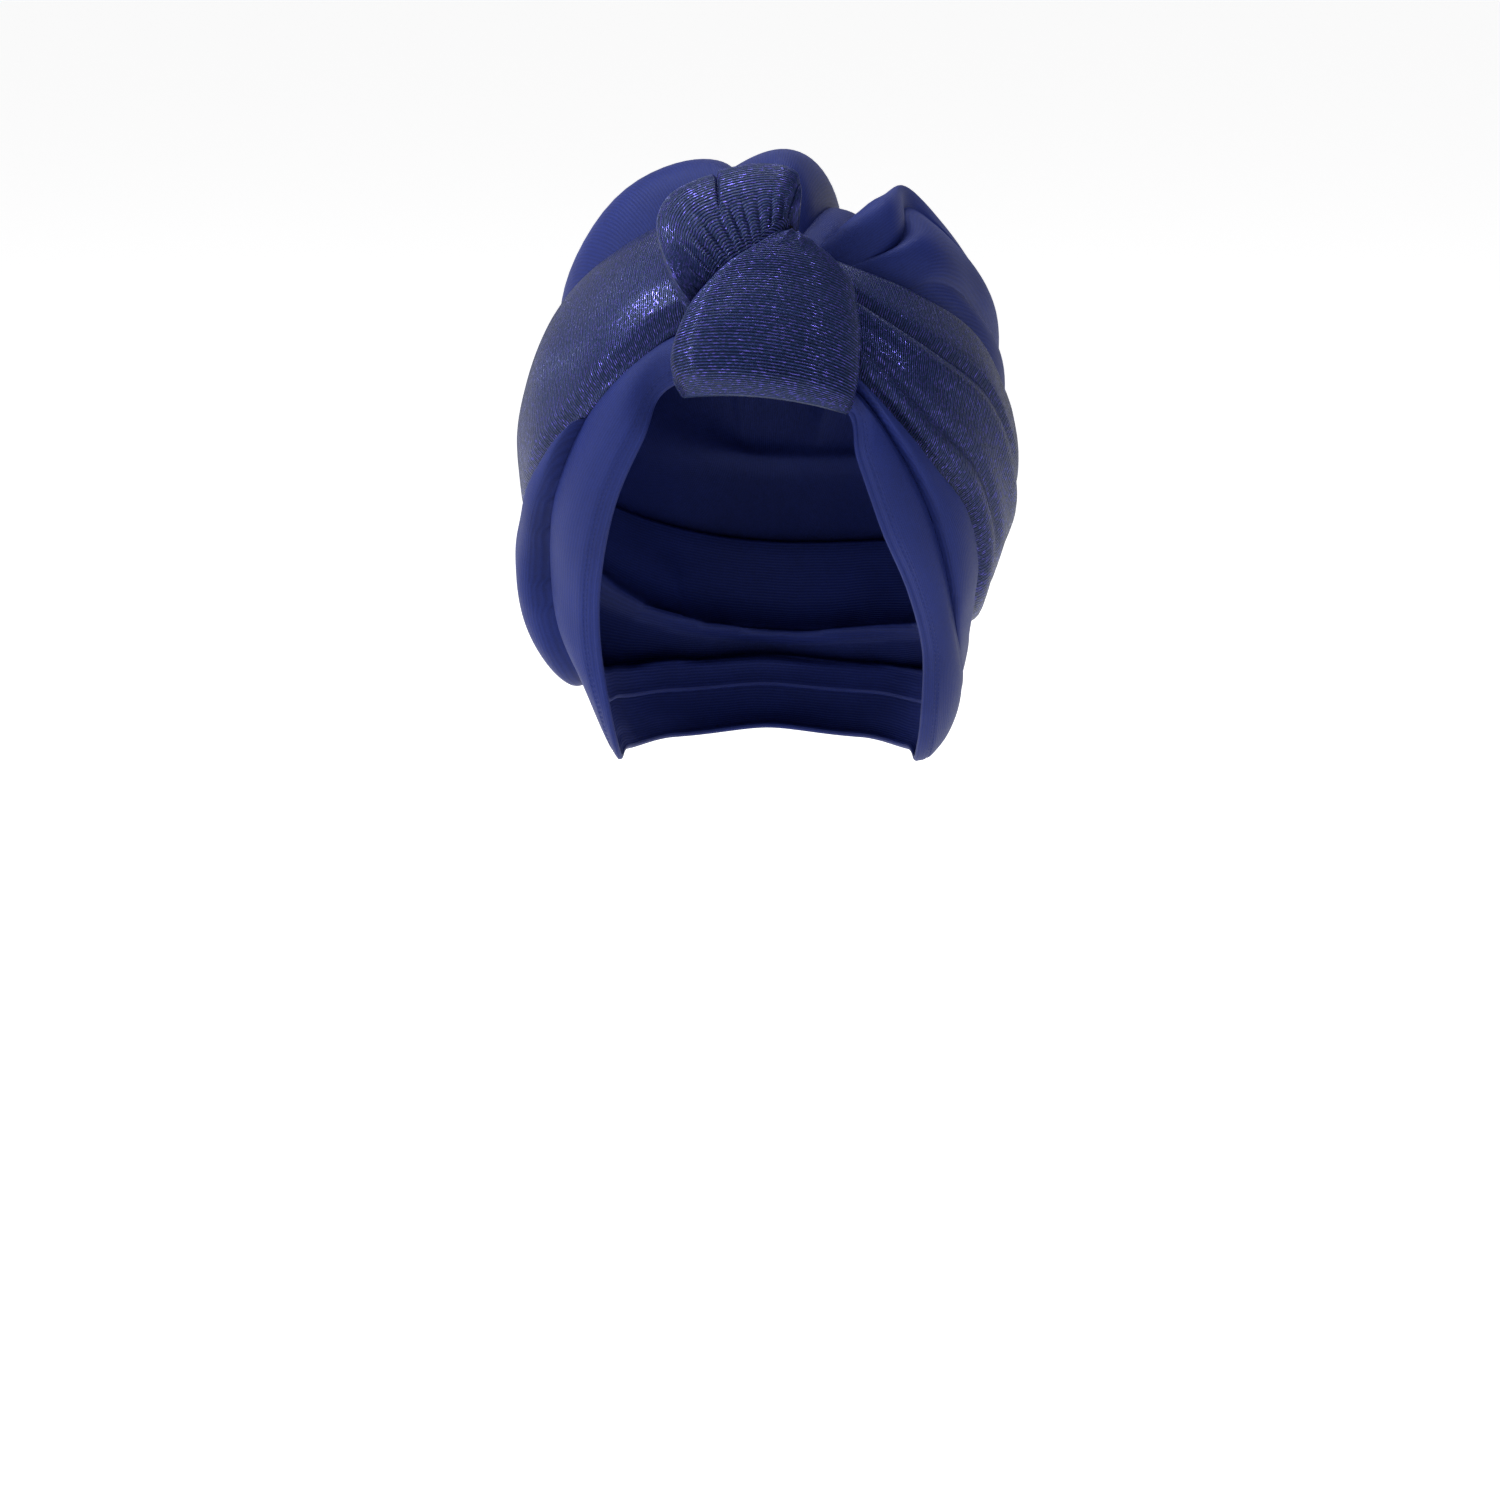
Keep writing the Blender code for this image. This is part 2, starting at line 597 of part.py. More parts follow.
def make_knot_fold(under, material):
    """The broad fold that comes down over the front of the knot and turns under at the forehead."""
    table = columns(KNOT_FOLD_COLUMNS, KNOT_FOLD_ROWS)
    places = np.linspace(0, len(KNOT_FOLD_ROWS) - 1, 21)
    left = table_line(table, "left", places, False)
    right = table_line(table, "right", places, False)
    height = table_value(table, "height", places, False)[:, None]
    shares = np.array([0.0, 0.04, 0.12, 0.26, 0.42, 0.6, 0.78, 0.92, 1.0])
    profile = np.array([0.66, 0.88, 1.0, 1.04, 1.03, 0.98, 0.90, 0.80, 0.70])
    return knot_piece("knot_fold", left, right, KNOT_FULLNESS * height * profile, shares, under, material)


def main():
    """Make every piece, each under or over the ones it touches."""
    clear_scene()
    scuba = cloth_material("scuba_knit", SCUBA)
    lame = cloth_material("ribbed_lame", LAME)
    ring = columns(RING_COLUMNS, RING_ROWS)
    face_band = make_face_band(ring, scuba)
    wrap_band = make_wrap_band(ring, lame)
    crown = make_crown(ring, wrap_band, scuba)
    side_cap = make_side_cap(ring, wrap_band, crown, face_band, scuba)
    knot_loop = make_knot_loop([face_band, wrap_band, crown, side_cap], lame)
    make_knot_fold([face_band, wrap_band, crown, side_cap, knot_loop], lame)


main()
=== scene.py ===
"""Dresses the turban headwrap: a puffed knit cap, its face band, a ribbed metallic wrap and the front knot.

Every sheet of cloth is charted from the middle of the head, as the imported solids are. A direction is an
azimuth and an elevation for the bands round the head, or a fan and a sweep for the crown's folds, and a table
gives how far the cloth stands off the head there. Metres, +Z up, the face looks along -Y.
"""

from __future__ import annotations

import logging
import math
from dataclasses import dataclass
from enum import Enum

import bpy
import numpy as np
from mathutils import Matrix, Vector
from mathutils.bvhtree import BVHTree

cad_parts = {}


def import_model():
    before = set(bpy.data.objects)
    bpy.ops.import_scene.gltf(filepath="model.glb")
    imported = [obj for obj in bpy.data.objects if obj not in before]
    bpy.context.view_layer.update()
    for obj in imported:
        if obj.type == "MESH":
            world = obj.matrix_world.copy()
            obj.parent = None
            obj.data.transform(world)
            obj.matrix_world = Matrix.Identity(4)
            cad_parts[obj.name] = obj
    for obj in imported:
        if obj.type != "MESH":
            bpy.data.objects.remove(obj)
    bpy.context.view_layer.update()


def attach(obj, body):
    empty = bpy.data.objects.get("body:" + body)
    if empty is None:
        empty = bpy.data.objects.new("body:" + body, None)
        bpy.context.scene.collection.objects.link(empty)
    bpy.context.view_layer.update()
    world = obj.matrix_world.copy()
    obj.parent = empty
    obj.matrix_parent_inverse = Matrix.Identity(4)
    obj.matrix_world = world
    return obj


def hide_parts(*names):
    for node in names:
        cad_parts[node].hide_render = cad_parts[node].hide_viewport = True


Grid = np.ndarray
Pair = tuple[float, float]
Triple = tuple[float, float, float]
Color = tuple[float, float, float, float]
Rows = tuple[tuple[float, ...], ...]
Feeds = dict[str | int, object]
Socket = bpy.types.NodeSocket
Material = bpy.types.Material
Item = bpy.types.Object

LOG = logging.getLogger("turban")
MM = 0.001
BODY = "root"
WEAVE = "weave"
PHASE = "rib_phase"
FACE_FULLNESS = 16 * MM
WRAP_FULLNESS = 30 * MM
WHITE = (1, 1, 1, 1)
UNDER_FACE = 2.9 * MM
UNDER_WRAP = 3.3 * MM
LEAST_EASE = 0.6 * MM
LAYER_GAP = 0.3 * MM


class Slot(Enum):
    """The record's material slots."""

    SCUBA = "scuba_knit"
    LAME = "ribbed_lame"


class RibLines(Enum):
    """Which lines of a piece's grid its ribs follow."""

    ROWS = "rows"
    COLUMNS = "columns"


def unit(vectors: Grid) -> Grid:
    """Scale vectors to length one."""
    return vectors / np.maximum(np.linalg.norm(vectors, axis=-1, keepdims=True), 1e-12)


def compass(azimuth: Grid, elevation: Grid) -> Grid:
    """Directions from azimuth and elevation in degrees."""
    turn, lift = np.radians(azimuth), np.radians(elevation)
    return np.stack([np.sin(turn) * np.cos(lift), -np.cos(turn) * np.cos(lift), np.sin(lift)], axis=-1)


def smooth_step(share: Grid) -> Grid:
    """Rise from nothing to one with no corner."""
    share = np.clip(share, 0, 1)
    return share * share * (3 - 2 * share)


def round_rise(share: Grid) -> Grid:
    """Rise as the quarter of a circle does, steep first and flat at the end."""
    share = np.clip(share, 0, 1)
    return np.sqrt(1 - (1 - share) ** 2)


def pillow(share: Grid, fullness: float) -> Grid:
    """Height across a rounded fold, nothing at both edges. More fullness gives a flatter top."""
    return np.sqrt(np.clip(1 - np.abs(2 * share - 1) ** fullness, 0, 1))


def hump(value: Grid, centre: float, spread: float) -> Grid:
    """A soft bell of height one."""
    return np.exp(-(((value - centre) / spread) ** 2))


def across(first: Grid, second: Grid, shares: Grid) -> Grid:
    """Directions across a band from its first line to its second.

    Args:
        first: one direction for each row.
        second: one direction for each row.
        shares: how far across each column lies.

    Returns:
        Directions in rows and columns.
    """
    return unit(first[:, None] + (second - first)[:, None] * shares[None, :, None])


def curve_through(values: Grid, places: Grid, closed: bool) -> Grid:
    """A smooth curve through rows of values, read at places counted in rows."""
    values = np.asarray(values, float)
    count = len(values)
    step = np.floor(places).astype(int)
    step = step if closed else np.clip(step, 0, count - 2)
    part = (places - step).reshape(-1, *[1] * (values.ndim - 1))
    near = [step + shift for shift in (-1, 0, 1, 2)]
    near = [index % count if closed else np.clip(index, 0, count - 1) for index in near]
    before, start, end, after = (values[index] for index in near)
    return 0.5 * (
        2 * start
        + (end - before) * part
        + (2 * before - 5 * start + 4 * end - after) * part**2
        + (3 * start - before - 3 * end + after) * part**3
    )


def flowing(knots: tuple[float, ...], values: tuple[float, ...], at: Grid) -> Grid:
    """A smooth curve through uneven knots.

    Args:
        knots: places, rising.
        values: the curve's value at each place.
        at: where to read it.

    Returns:
        The values there.
    """
    knots, values = np.asarray(knots, float), np.asarray(values, float)
    slopes = np.gradient(values, knots)
    step = np.clip(np.searchsorted(knots, at, side="right") - 1, 0, len(knots) - 2)
    width = knots[step + 1] - knots[step]
    part = (at - knots[step]) / width
    return (
        values[step] * (1 + 2 * part) * (1 - part) ** 2
        + slopes[step] * width * part * (1 - part) ** 2
        + values[step + 1] * part**2 * (3 - 2 * part)
        + slopes[step + 1] * width * part**2 * (part - 1)
    )


@dataclass(frozen=True)
class Ripples:
    """Soft random waves, the same each run.

    Attributes:
        seed: which waves.
        wavelength: their mean length in metres.
        count: how many are added.
    """

    seed: int
    wavelength: float
    count: int = 14

    def read(self, points: Grid) -> Grid:
        """Heights from about -1 to 1 at points."""
        random = np.random.default_rng(self.seed)
        total = np.zeros(points.shape[:-1])
        for _ in range(self.count):
            aim = unit(random.normal(size=points.shape[-1]))
            pace = 2 * math.pi / (self.wavelength * random.uniform(0.6, 1.7))
            total += np.sin(points @ aim * pace + random.uniform(0, 2 * math.pi))
        return total / math.sqrt(self.count * 2)


@dataclass(frozen=True)
class Head:
    """The head that the turban fits, an egg that is measured from its middle."""

    width: float = 154 * MM
    depth: float = 194 * MM
    rise: float = 110 * MM
    drop: float = 185 * MM

    def middle(self) -> Grid:
        """The point that every direction starts from."""
        return np.array([0.0, 0.0, -self.rise])

    def reach(self, directions: Grid) -> Grid:
        """Distance from the middle to the head's surface."""
        upright = np.where(directions[..., 2] > 0, self.rise, self.drop)
        sides = (directions[..., 0] * 2 / self.width) ** 2 + (directions[..., 1] * 2 / self.depth) ** 2
        return 1 / np.sqrt(sides + (directions[..., 2] / upright) ** 2)

    def points(self, directions: Grid, radii: Grid) -> Grid:
        """Points at a distance from the middle."""
        return self.middle() + directions * radii[..., None]


@dataclass(frozen=True)
class Table:
    """A short table with named columns, read between its rows by a smooth curve."""

    columns: tuple[str, ...]
    rows: Rows
    closed: bool

    def value(self, name: str, places: Grid) -> Grid:
        """One plain column, at places counted in rows."""
        return curve_through(np.array(self.rows, float)[:, self.columns.index(name)], places, self.closed)

    def line(self, name: str, places: Grid) -> Grid:
        """The directions of one line of the cloth, at places counted in rows."""
        table = np.array(self.rows, float)
        turn, lift = (table[:, self.columns.index(name + end)] for end in ("_az", "_el"))
        return unit(curve_through(compass(turn, lift), places, self.closed))


HEAD = Head()

# Lines of the cloth round the head in degrees, and how far it stands off there, in shares of its fullness
RING = Table(
    (
        "rim_az", "rim_el", "seam_az", "seam_el", "low_az", "low_el", "high_az", "high_el",
        "seam_lift", "puff_lift", "low_lift", "high_lift",
    ),
    (
        (0, 37, 0, 44, 0, 50, 0, 66, 0.60, 0.38, 0.52, 0.60),
        (22, 28.5, 23.5, 29, 26, 32, 30, 57, 0.64, 0.48, 0.54, 0.70),
        (24, 16, 32, 16.5, 39, 17, 51, 48.6, 0.78, 0.62, 0.64, 0.84),
        (31, -2, 41.5, 0, 53, 4, 70, 40, 0.82, 0.70, 0.72, 0.96),
        (42, -19, 50, -16, 64, -11, 82, 29, 0.84, 0.66, 0.69, 0.96),
        (54.6, -36, 60, -30, 71, -22, 93, 21, 0.82, 0.52, 0.62, 0.98),
        (66, -51, 76, -41, 82, -31, 102, 15, 0.90, 0.44, 0.50, 0.98),
        (85, -60.2, 94, -47, 100, -35.5, 114, 10, 1.02, 0.50, 0.48, 0.94),
        (112, -60, 118, -47.5, 124, -37.5, 132, 5, 0.75, 0.42, 0.45, 0.88),
        (146, -57.5, 148, -45.5, 151, -38, 154, 1, 0.70, 0.42, 0.44, 0.84),
        (180, -55, 180, -43.5, 180, -38, 180, 0, 0.68, 0.44, 0.46, 0.84),
        (214, -57.5, 210, -45.5, 202, -36, 195, 3, 0.60, 0.46, 0.50, 0.84),
        (248, -60, 240, -47.5, 222, -31, 210, 8, 0.48, 0.52, 0.56, 0.87),
        (273, -60.2, 263, -46.5, 236, -24, 222, 13, 0.50, 0.84, 0.68, 0.92),
        (286, -52, 272, -39, 248, -16, 232, 19, 0.70, 1.06, 0.80, 0.97),
        (290.5, -40, 274, -29, 260, -8, 242, 26, 0.98, 1.06, 0.88, 1.00),
        (297.3, -25.3, 278, -14, 274, 0, 254, 36, 1.00, 0.93, 0.84, 1.07),
        (309.5, -1.6, 295, 9, 291.5, 14, 265, 45, 0.97, 0.78, 0.82, 1.00),
        (322.3, 20.6, 311, 29, 311.5, 31, 276, 57.5, 0.88, 0.56, 0.66, 0.86),
        (329, 34, 330.5, 43, 331, 45.5, 315, 72, 0.68, 0.42, 0.58, 0.70),
    ),
    True,
)


def lift_of(line: str, places: Grid, fullness: float) -> Grid:
    """How far one line of the cloth stands off the head, a value for each row."""
    return RING.value(f"{line}_lift", places)[:, None] * fullness


def wall_inside(directions: Grid, outer: Grid, wall: float) -> Grid:
    """Inner radii that keep a wall's thickness where its surface slants.

    Args:
        directions: the grid's directions.
        outer: its outer radii.
        wall: thickness of the cloth.

    Returns:
        Inner radii on the same grid.
    """
    points = HEAD.points(directions, outer)
    normals = unit(np.cross(np.gradient(points, axis=0), np.gradient(points, axis=1)))
    facing = np.abs(np.sum(normals * directions, axis=-1))
    return outer - wall / np.maximum(facing, 0.5)


def travelled(points: Grid) -> Grid:
    """How far each point of a grid lies from the start of its row, along the row."""
    return np.cumsum(np.linalg.norm(np.diff(points, axis=1, prepend=points[:, :1]), axis=-1), axis=1)


def tree_of(items: list[Item]) -> BVHTree:
    """A search tree over the faces of finished pieces."""
    points: list[Vector] = []
    faces: list[list[int]] = []
    for item in items:
        start = len(points)
        points += [vertex.co.copy() for vertex in item.data.vertices]
        faces += [[start + corner for corner in face.vertices] for face in item.data.polygons]
    return BVHTree.FromPolygons(points, faces)


def seen_from_inside(pieces: list[Item], directions: Grid, outward: bool) -> Grid:
    """Distance from the middle of the head to pieces.

    Args:
        pieces: the finished pieces.
        directions: a grid of directions.
        outward: True for their inner side, met going out, and False for their outer side, met coming in.

    Returns:
        Distances, or NaN where there is no piece.
    """
    tree, middle, far = tree_of(pieces), Vector(HEAD.middle()), 1.0
    found = np.full(directions.shape[:-1], np.nan)
    for index in np.ndindex(found.shape):
        aim = Vector(directions[index])
        place = tree.ray_cast(middle if outward else middle + aim * far, aim if outward else -aim, far)[0]
        if place is not None:
            found[index] = (place - middle).length
    return found


def softened(values: Grid, rounds: int, closed: bool) -> Grid:
    """A grid of values with its corners smoothed.

    Args:
        values: rows and columns.
        rounds: how often each value is averaged with its neighbours.
        closed: whether the last row meets the first.

    Returns:
        The smoothed grid.
    """
    for _ in range(rounds):
        ends = [values[-1:], values[:1]] if closed else [values[:1], values[-1:]]
        tall = np.concatenate([ends[0], values, ends[1]])
        wide = np.concatenate([values[:, :1], values, values[:, -1:]], axis=1)
        values = 0.5 * values + 0.125 * (tall[:-2] + tall[2:] + wide[:, :-2] + wide[:, 2:])
    return values


def eased_under(outer: Grid, limit: Grid, rounds: int, closed: bool) -> Grid:
    """Radii lowered under a limit, with a soft slope where the limit begins.

    Args:
        outer: the free sheet's radii.
        limit: the highest radii, NaN where nothing covers the sheet.
        rounds: how wide the slope is.
        closed: whether the last row meets the first.

    Returns:
        The lowered radii.
    """
    needed = np.nan_to_num(np.maximum(outer - limit, 0), nan=0.0)
    drop = needed
    for _ in range(rounds):
        drop = np.maximum(needed, softened(drop, 1, closed))
    return outer - drop


def placed(name: str, data: bpy.types.ID) -> Item:
    """A new object in the scene."""
    item = bpy.data.objects.new(name, data)
    bpy.context.scene.collection.objects.link(item)
    return item


@dataclass
class ClothWall:
    """A closed wall of cloth between an outer and an inner grid of points, with rounded edges.

    Attributes:
        outer: rows, columns and coordinates.
        inner: the same rows, and as many columns as it needs.
        closed: whether the last row meets the first.
        ribs: the grid lines that the ribs follow.
        bulge: how far the edges stand out, or nothing for a half circle.
        edge_steps: points round each edge.
    """

    outer: Grid
    inner: Grid
    closed: bool
    ribs: RibLines
    bulge: float | None = None
    edge_steps: int = 5

    def edge(self, top: Grid, under: Grid, before: Grid) -> Grid:
        """Points round one edge, from the outer sheet to the inner one."""
        middle, half = (top + under) / 2, (top - under) / 2
        along = top - before
        shared = np.sum(along * half, axis=-1, keepdims=True)
        along -= half * shared / np.sum(half * half, axis=-1, keepdims=True)
        size = np.linalg.norm(half, axis=-1, keepdims=True)
        out = unit(along) * (size if self.bulge is None else np.minimum(size, self.bulge))
        turns = np.linspace(0, math.pi, self.edge_steps + 2)[1:-1]
        return np.stack([middle + half * math.cos(turn) + out * math.sin(turn) for turn in turns], axis=1)

    def loops(self) -> Grid:
        """The points of each row, round the wall."""
        outer, inner = self.outer, self.inner
        far = self.edge(outer[:, -1], inner[:, -1], outer[:, -2])
        near = self.edge(outer[:, 0], inner[:, 0], outer[:, 1])[:, ::-1]
        return np.concatenate([outer, far, inner[:, ::-1], near], axis=1)

    def outside(self) -> Grid:
        """For each point round the wall, how much it belongs to the side that shows."""
        edge = np.ones(self.edge_steps)
        return np.concatenate([np.ones(self.outer.shape[1]), edge, np.zeros(self.inner.shape[1]), edge])

    @staticmethod
    def distances(points: Grid, axis: int) -> Grid:
        """Mean distance travelled along rows or columns, with the way back to the start as a last entry."""
        steps = np.linalg.norm(np.roll(points, -1, axis=axis) - points, axis=-1).mean(axis=1 - axis)
        return np.concatenate([[0.0], np.cumsum(steps)])

    def build(self, name: str) -> Item:
        """The wall as an object, with its weave map and its rib attributes."""
        loops = self.loops()
        rows, count = loops.shape[:2]
        row_at, column_at = self.distances(self.outer, 0), self.distances(loops, 1)
        strips = rows if self.closed else rows - 1
        row, column = np.meshgrid(np.arange(strips), np.arange(count), indexing="ij")
        corner_rows = np.stack([row, row + 1, row + 1, row], axis=-1).reshape(-1, 4)
        corner_columns = np.stack([column, column, column + 1, column + 1], axis=-1).reshape(-1, 4)
        faces = (corner_rows % rows) * count + corner_columns % count
        maps = np.stack([row_at[corner_rows], column_at[corner_columns]], axis=-1)
        if self.ribs is RibLines.COLUMNS:
            maps = maps[..., ::-1]
        polygons = faces.tolist()
        if not self.closed:
            last = (rows - 1) * count
            polygons += [list(range(count)), list(range(last, last + count))[::-1]]
        mesh = bpy.data.meshes.new(name)
        mesh.from_pydata(loops.reshape(-1, 3).tolist(), [], polygons)
        layer = mesh.uv_layers.new(name=WEAVE)
        flat = np.zeros((len(mesh.loops), 2))
        flat[: maps.size // 2] = maps.reshape(-1, 2)
        layer.data.foreach_set("uv", flat.ravel())
        run, line = np.meshgrid(row_at[:-1], column_at[:-1], indexing="ij")
        if self.ribs is RibLines.COLUMNS:
            run, line = line, run
        shown = np.repeat(self.outside()[None, :], rows, axis=0)
        for title, values in (("rib_run", run), ("rib_line", line), ("shown", shown)):
            mesh.attributes.new(title, "FLOAT", "POINT").data.foreach_set("value", values.ravel())
        if self.faces_inward(loops):
            mesh.flip_normals()
        mesh.shade_smooth()
        return placed(name, mesh)

    def faces_inward(self, loops: Grid) -> bool:
        """Whether the grid's winding turns the outer sheet's faces towards the head."""
        middle = np.array(self.outer.shape[:2]) // 2
        here = loops[middle[0], middle[1]]
        along = loops[middle[0] + 1, middle[1]] - here
        side = loops[middle[0], middle[1] + 1] - here
        return float(np.dot(np.cross(along, side), here - HEAD.middle())) < 0


class NodeSketch:
    """Short calls that add nodes to a tree and wire them."""

    def __init__(self, tree: bpy.types.NodeTree) -> None:
        """Work on one tree."""
        self.tree = tree

    def add(self, kind: str, feeds: Feeds | None = None, **settings: object) -> bpy.types.Node:
        """Add a node.

        Args:
            kind: Blender's type of the node.
            feeds: values or sockets for its inputs.
            settings: its properties.

        Returns:
            The node.
        """
        node = self.tree.nodes.new(kind)
        for name, value in settings.items():
            setattr(node, name, value)
        for name, value in (feeds or {}).items():
            if isinstance(value, Socket):
                self.tree.links.new(value, node.inputs[name])
            else:
                node.inputs[name].default_value = value
        return node

    def math(self, operation: str, *values: object) -> Socket:
        """The result of a Math node."""
        return self.add("ShaderNodeMath", dict(enumerate(values)), operation=operation).outputs[0]

    def times(self, *values: object) -> Socket:
        """The product of two values."""
        return self.math("MULTIPLY", *values)

    def plus(self, *values: object) -> Socket:
        """The sum of two values."""
        return self.math("ADD", *values)

    def point(self, *values: object) -> Socket:
        """A vector from its parts."""
        return self.add("ShaderNodeCombineXYZ", dict(enumerate(values))).outputs[0]

    def wave(self, operation: str, phase: object) -> Socket:
        """A wave that repeats with each whole step of its phase."""
        return self.math(operation, self.times(phase, 2 * math.pi))

    def spread(self, value: object, low: float, high: float, start: float, end: float) -> Socket:
        """A value mapped from one range to another."""
        feeds = {"Value": value, "From Min": low, "From Max": high, "To Min": start, "To Max": end}
        return self.add("ShaderNodeMapRange", feeds).outputs[0]

    def noise(self, vector: object, scale: float, detail: float = 2.0) -> Socket:
        """Soft noise from 0 to 1."""
        return self.add("ShaderNodeTexNoise", {"Vector": vector, "Scale": scale, "Detail": detail}).outputs[0]

    def mix(self, factor: object, first: object, second: object) -> Socket:
        """One colour blended into another."""
        node = self.add("ShaderNodeMix", data_type="RGBA")
        for index, value in ((0, factor), (6, first), (7, second)):
            if isinstance(value, Socket):
                self.tree.links.new(value, node.inputs[index])
            else:
                node.inputs[index].default_value = value
        return node.outputs[2]

    def give(self, shape: Socket, finish: Socket) -> None:
        """End a geometry tree: make its instances real and set its material."""
        real = self.add("GeometryNodeRealizeInstances", {0: shape})
        dressed = self.add("GeometryNodeSetMaterial", {"Geometry": real.outputs[0], "Material": finish})
        self.add("NodeGroupOutput", {0: dressed.outputs[0]})


@dataclass(frozen=True)
class Finish:
    """A cloth's finish: what every knit's shader has in common."""

    specular: float
    specular_tint: Color
    sheen: float
    sheen_roughness: float
    sheen_tint: Color

    def start(self, name: str) -> tuple[Material, NodeSketch, Socket, list[Socket]]:
        """Begin a material.

        Args:
            name: the material's name.

        Returns:
            The material, a sketch of its tree, the weave map and that map's coordinates.
        """
        made = bpy.data.materials.new(name)
        made.use_nodes = True
        sketch = NodeSketch(made.node_tree)
        weave = sketch.add("ShaderNodeUVMap", uv_map=WEAVE).outputs[0]
        return made, sketch, weave, list(sketch.add("ShaderNodeSeparateXYZ", {0: weave}).outputs)

    def complete(self, made: Material, feeds: dict[str, Socket]) -> Material:
        """Wire the shader and set its plain values."""
        shader = made.node_tree.nodes["Principled BSDF"]
        for name, socket in feeds.items():
            made.node_tree.links.new(socket, shader.inputs[name])
        values = {
            "Specular IOR Level": self.specular,
            "Specular Tint": self.specular_tint,
            "Sheen Weight": self.sheen,
            "Sheen Roughness": self.sheen_roughness,
            "Sheen Tint": self.sheen_tint,
        }
        for name, value in values.items():
            shader.inputs[name].default_value = value
        return made


@dataclass(frozen=True)
class ScubaFinish(Finish):
    """Smooth double knit: royal blue, a soft nap that lights up at the folds' edges, and fine wales."""

    specular: float = 0.22
    specular_tint: Color = (0.5, 0.6, 1.0, 1)
    sheen: float = 0.04
    sheen_roughness: float = 0.16
    sheen_tint: Color = (0.20, 0.34, 1.0, 1)
    lit: Color = (0.0108, 0.0192, 0.124, 1)
    deep: Color = (0.0065, 0.0105, 0.066, 1)
    wale: float = 1.1 * MM
    wale_depth: float = 0.10 * MM
    wale_tone: float = 0.22
    fibre_tone: float = 0.45
    grain_scale: float = 2600.0
    patch_scale: float = 22.0

    def material(self) -> Material:
        """Build the material."""
        made, sketch, weave, parts = self.start("scuba_knit")
        place = sketch.add("ShaderNodeTexCoord").outputs["Object"]
        wander = sketch.spread(sketch.noise(weave, 60.0), 0, 1, -0.5, 0.5)
        phase = sketch.plus(sketch.math("DIVIDE", parts[0], self.wale), wander)
        wales = sketch.wave("SINE", phase)
        grain = sketch.noise(place, self.grain_scale, 3.0)
        patches = sketch.spread(sketch.noise(place, self.patch_scale, 3.0), 0.35, 0.65, 0.3, 0.7)
        fibres = sketch.spread(grain, 0.35, 0.65, -self.fibre_tone, self.fibre_tone)
        tone = sketch.plus(patches, sketch.plus(fibres, sketch.times(wales, self.wale_tone)))
        share = sketch.math("MAXIMUM", sketch.math("MINIMUM", tone, 1.0), 0.0)
        color = sketch.mix(share, self.deep, self.lit)
        height = sketch.plus(sketch.times(wales, 0.5), sketch.times(grain, 1.6))
        bump = sketch.add("ShaderNodeBump", {"Strength": 0.55, "Distance": self.wale_depth, "Height": height})
        rough = sketch.spread(grain, 0.3, 0.7, 0.52, 0.66)
        return self.complete(made, {"Base Color": color, "Roughness": rough, "Normal": bump.outputs[0]})


@dataclass(frozen=True)
class LameFinish(Finish):
    """Ribbed metallic knit: dark navy with painted shade in the grooves between its ribs, violet glints in
    short dashes, and a pale frost in grazing light.
    """

    specular: float = 0.30
    specular_tint: Color = (0.36, 0.48, 1.0, 1)
    sheen: float = 0.02
    sheen_roughness: float = 0.20
    sheen_tint: Color = (0.72, 0.74, 1.0, 1)
    ridge: Color = (0.0088, 0.0200, 0.078, 1)
    # groove: painted shade, the near-black colour given to the hollows between the ribs
    groove: Color = (0.0020, 0.0030, 0.011, 1)
    thread: Color = (0.120, 0.100, 0.52, 1)
    rib_depth: float = 0.18 * MM
    rib_top: float = 0.65
    dash: Pair = (0.6 * MM, 2.0 * MM)
    dull: float = 0.40
    bright: float = 0.20

    def material(self) -> Material:
        """Build the material."""
        made, sketch, _, parts = self.start("ribbed_lame")
        phase = sketch.add("ShaderNodeAttribute", attribute_name=PHASE).outputs["Fac"]
        along = sketch.point(phase, sketch.times(parts[1], 60.0))
        uneven = sketch.spread(sketch.noise(along, 0.9, 1.0), 0.3, 0.7, 0.55, 1.0)
        ribs = sketch.math("POWER", sketch.spread(sketch.wave("COSINE", phase), -1, 1, 0, 1), 0.9)
        crest = sketch.math("POWER", ribs, 2.5)
        dashes = [sketch.math("DIVIDE", parts[axis], size) for axis, size in enumerate(self.dash)]
        glints = sketch.spread(sketch.noise(sketch.point(*dashes), 1.0, 3.0), 0.50, 0.66, 0, 1)
        # The colour runs from groove to ridge with the ribs' height: painted shade in the grooves between the
        # ribs.
        cloth = sketch.mix(sketch.times(ribs, uneven), self.groove, self.ridge)
        metal = sketch.times(sketch.times(glints, crest), 0.9)
        color = sketch.mix(metal, cloth, self.thread)
        height = sketch.plus(sketch.spread(ribs, 0, self.rib_top, 0, 1), sketch.times(glints, 0.04))
        bump = sketch.add("ShaderNodeBump", {"Strength": 0.9, "Distance": self.rib_depth, "Height": height})
        rough = sketch.spread(glints, 0, 1, self.dull, self.bright)
        feeds = {"Base Color": color, "Roughness": rough, "Metallic": metal, "Normal": bump.outputs[0]}
        return self.complete(made, feeds)


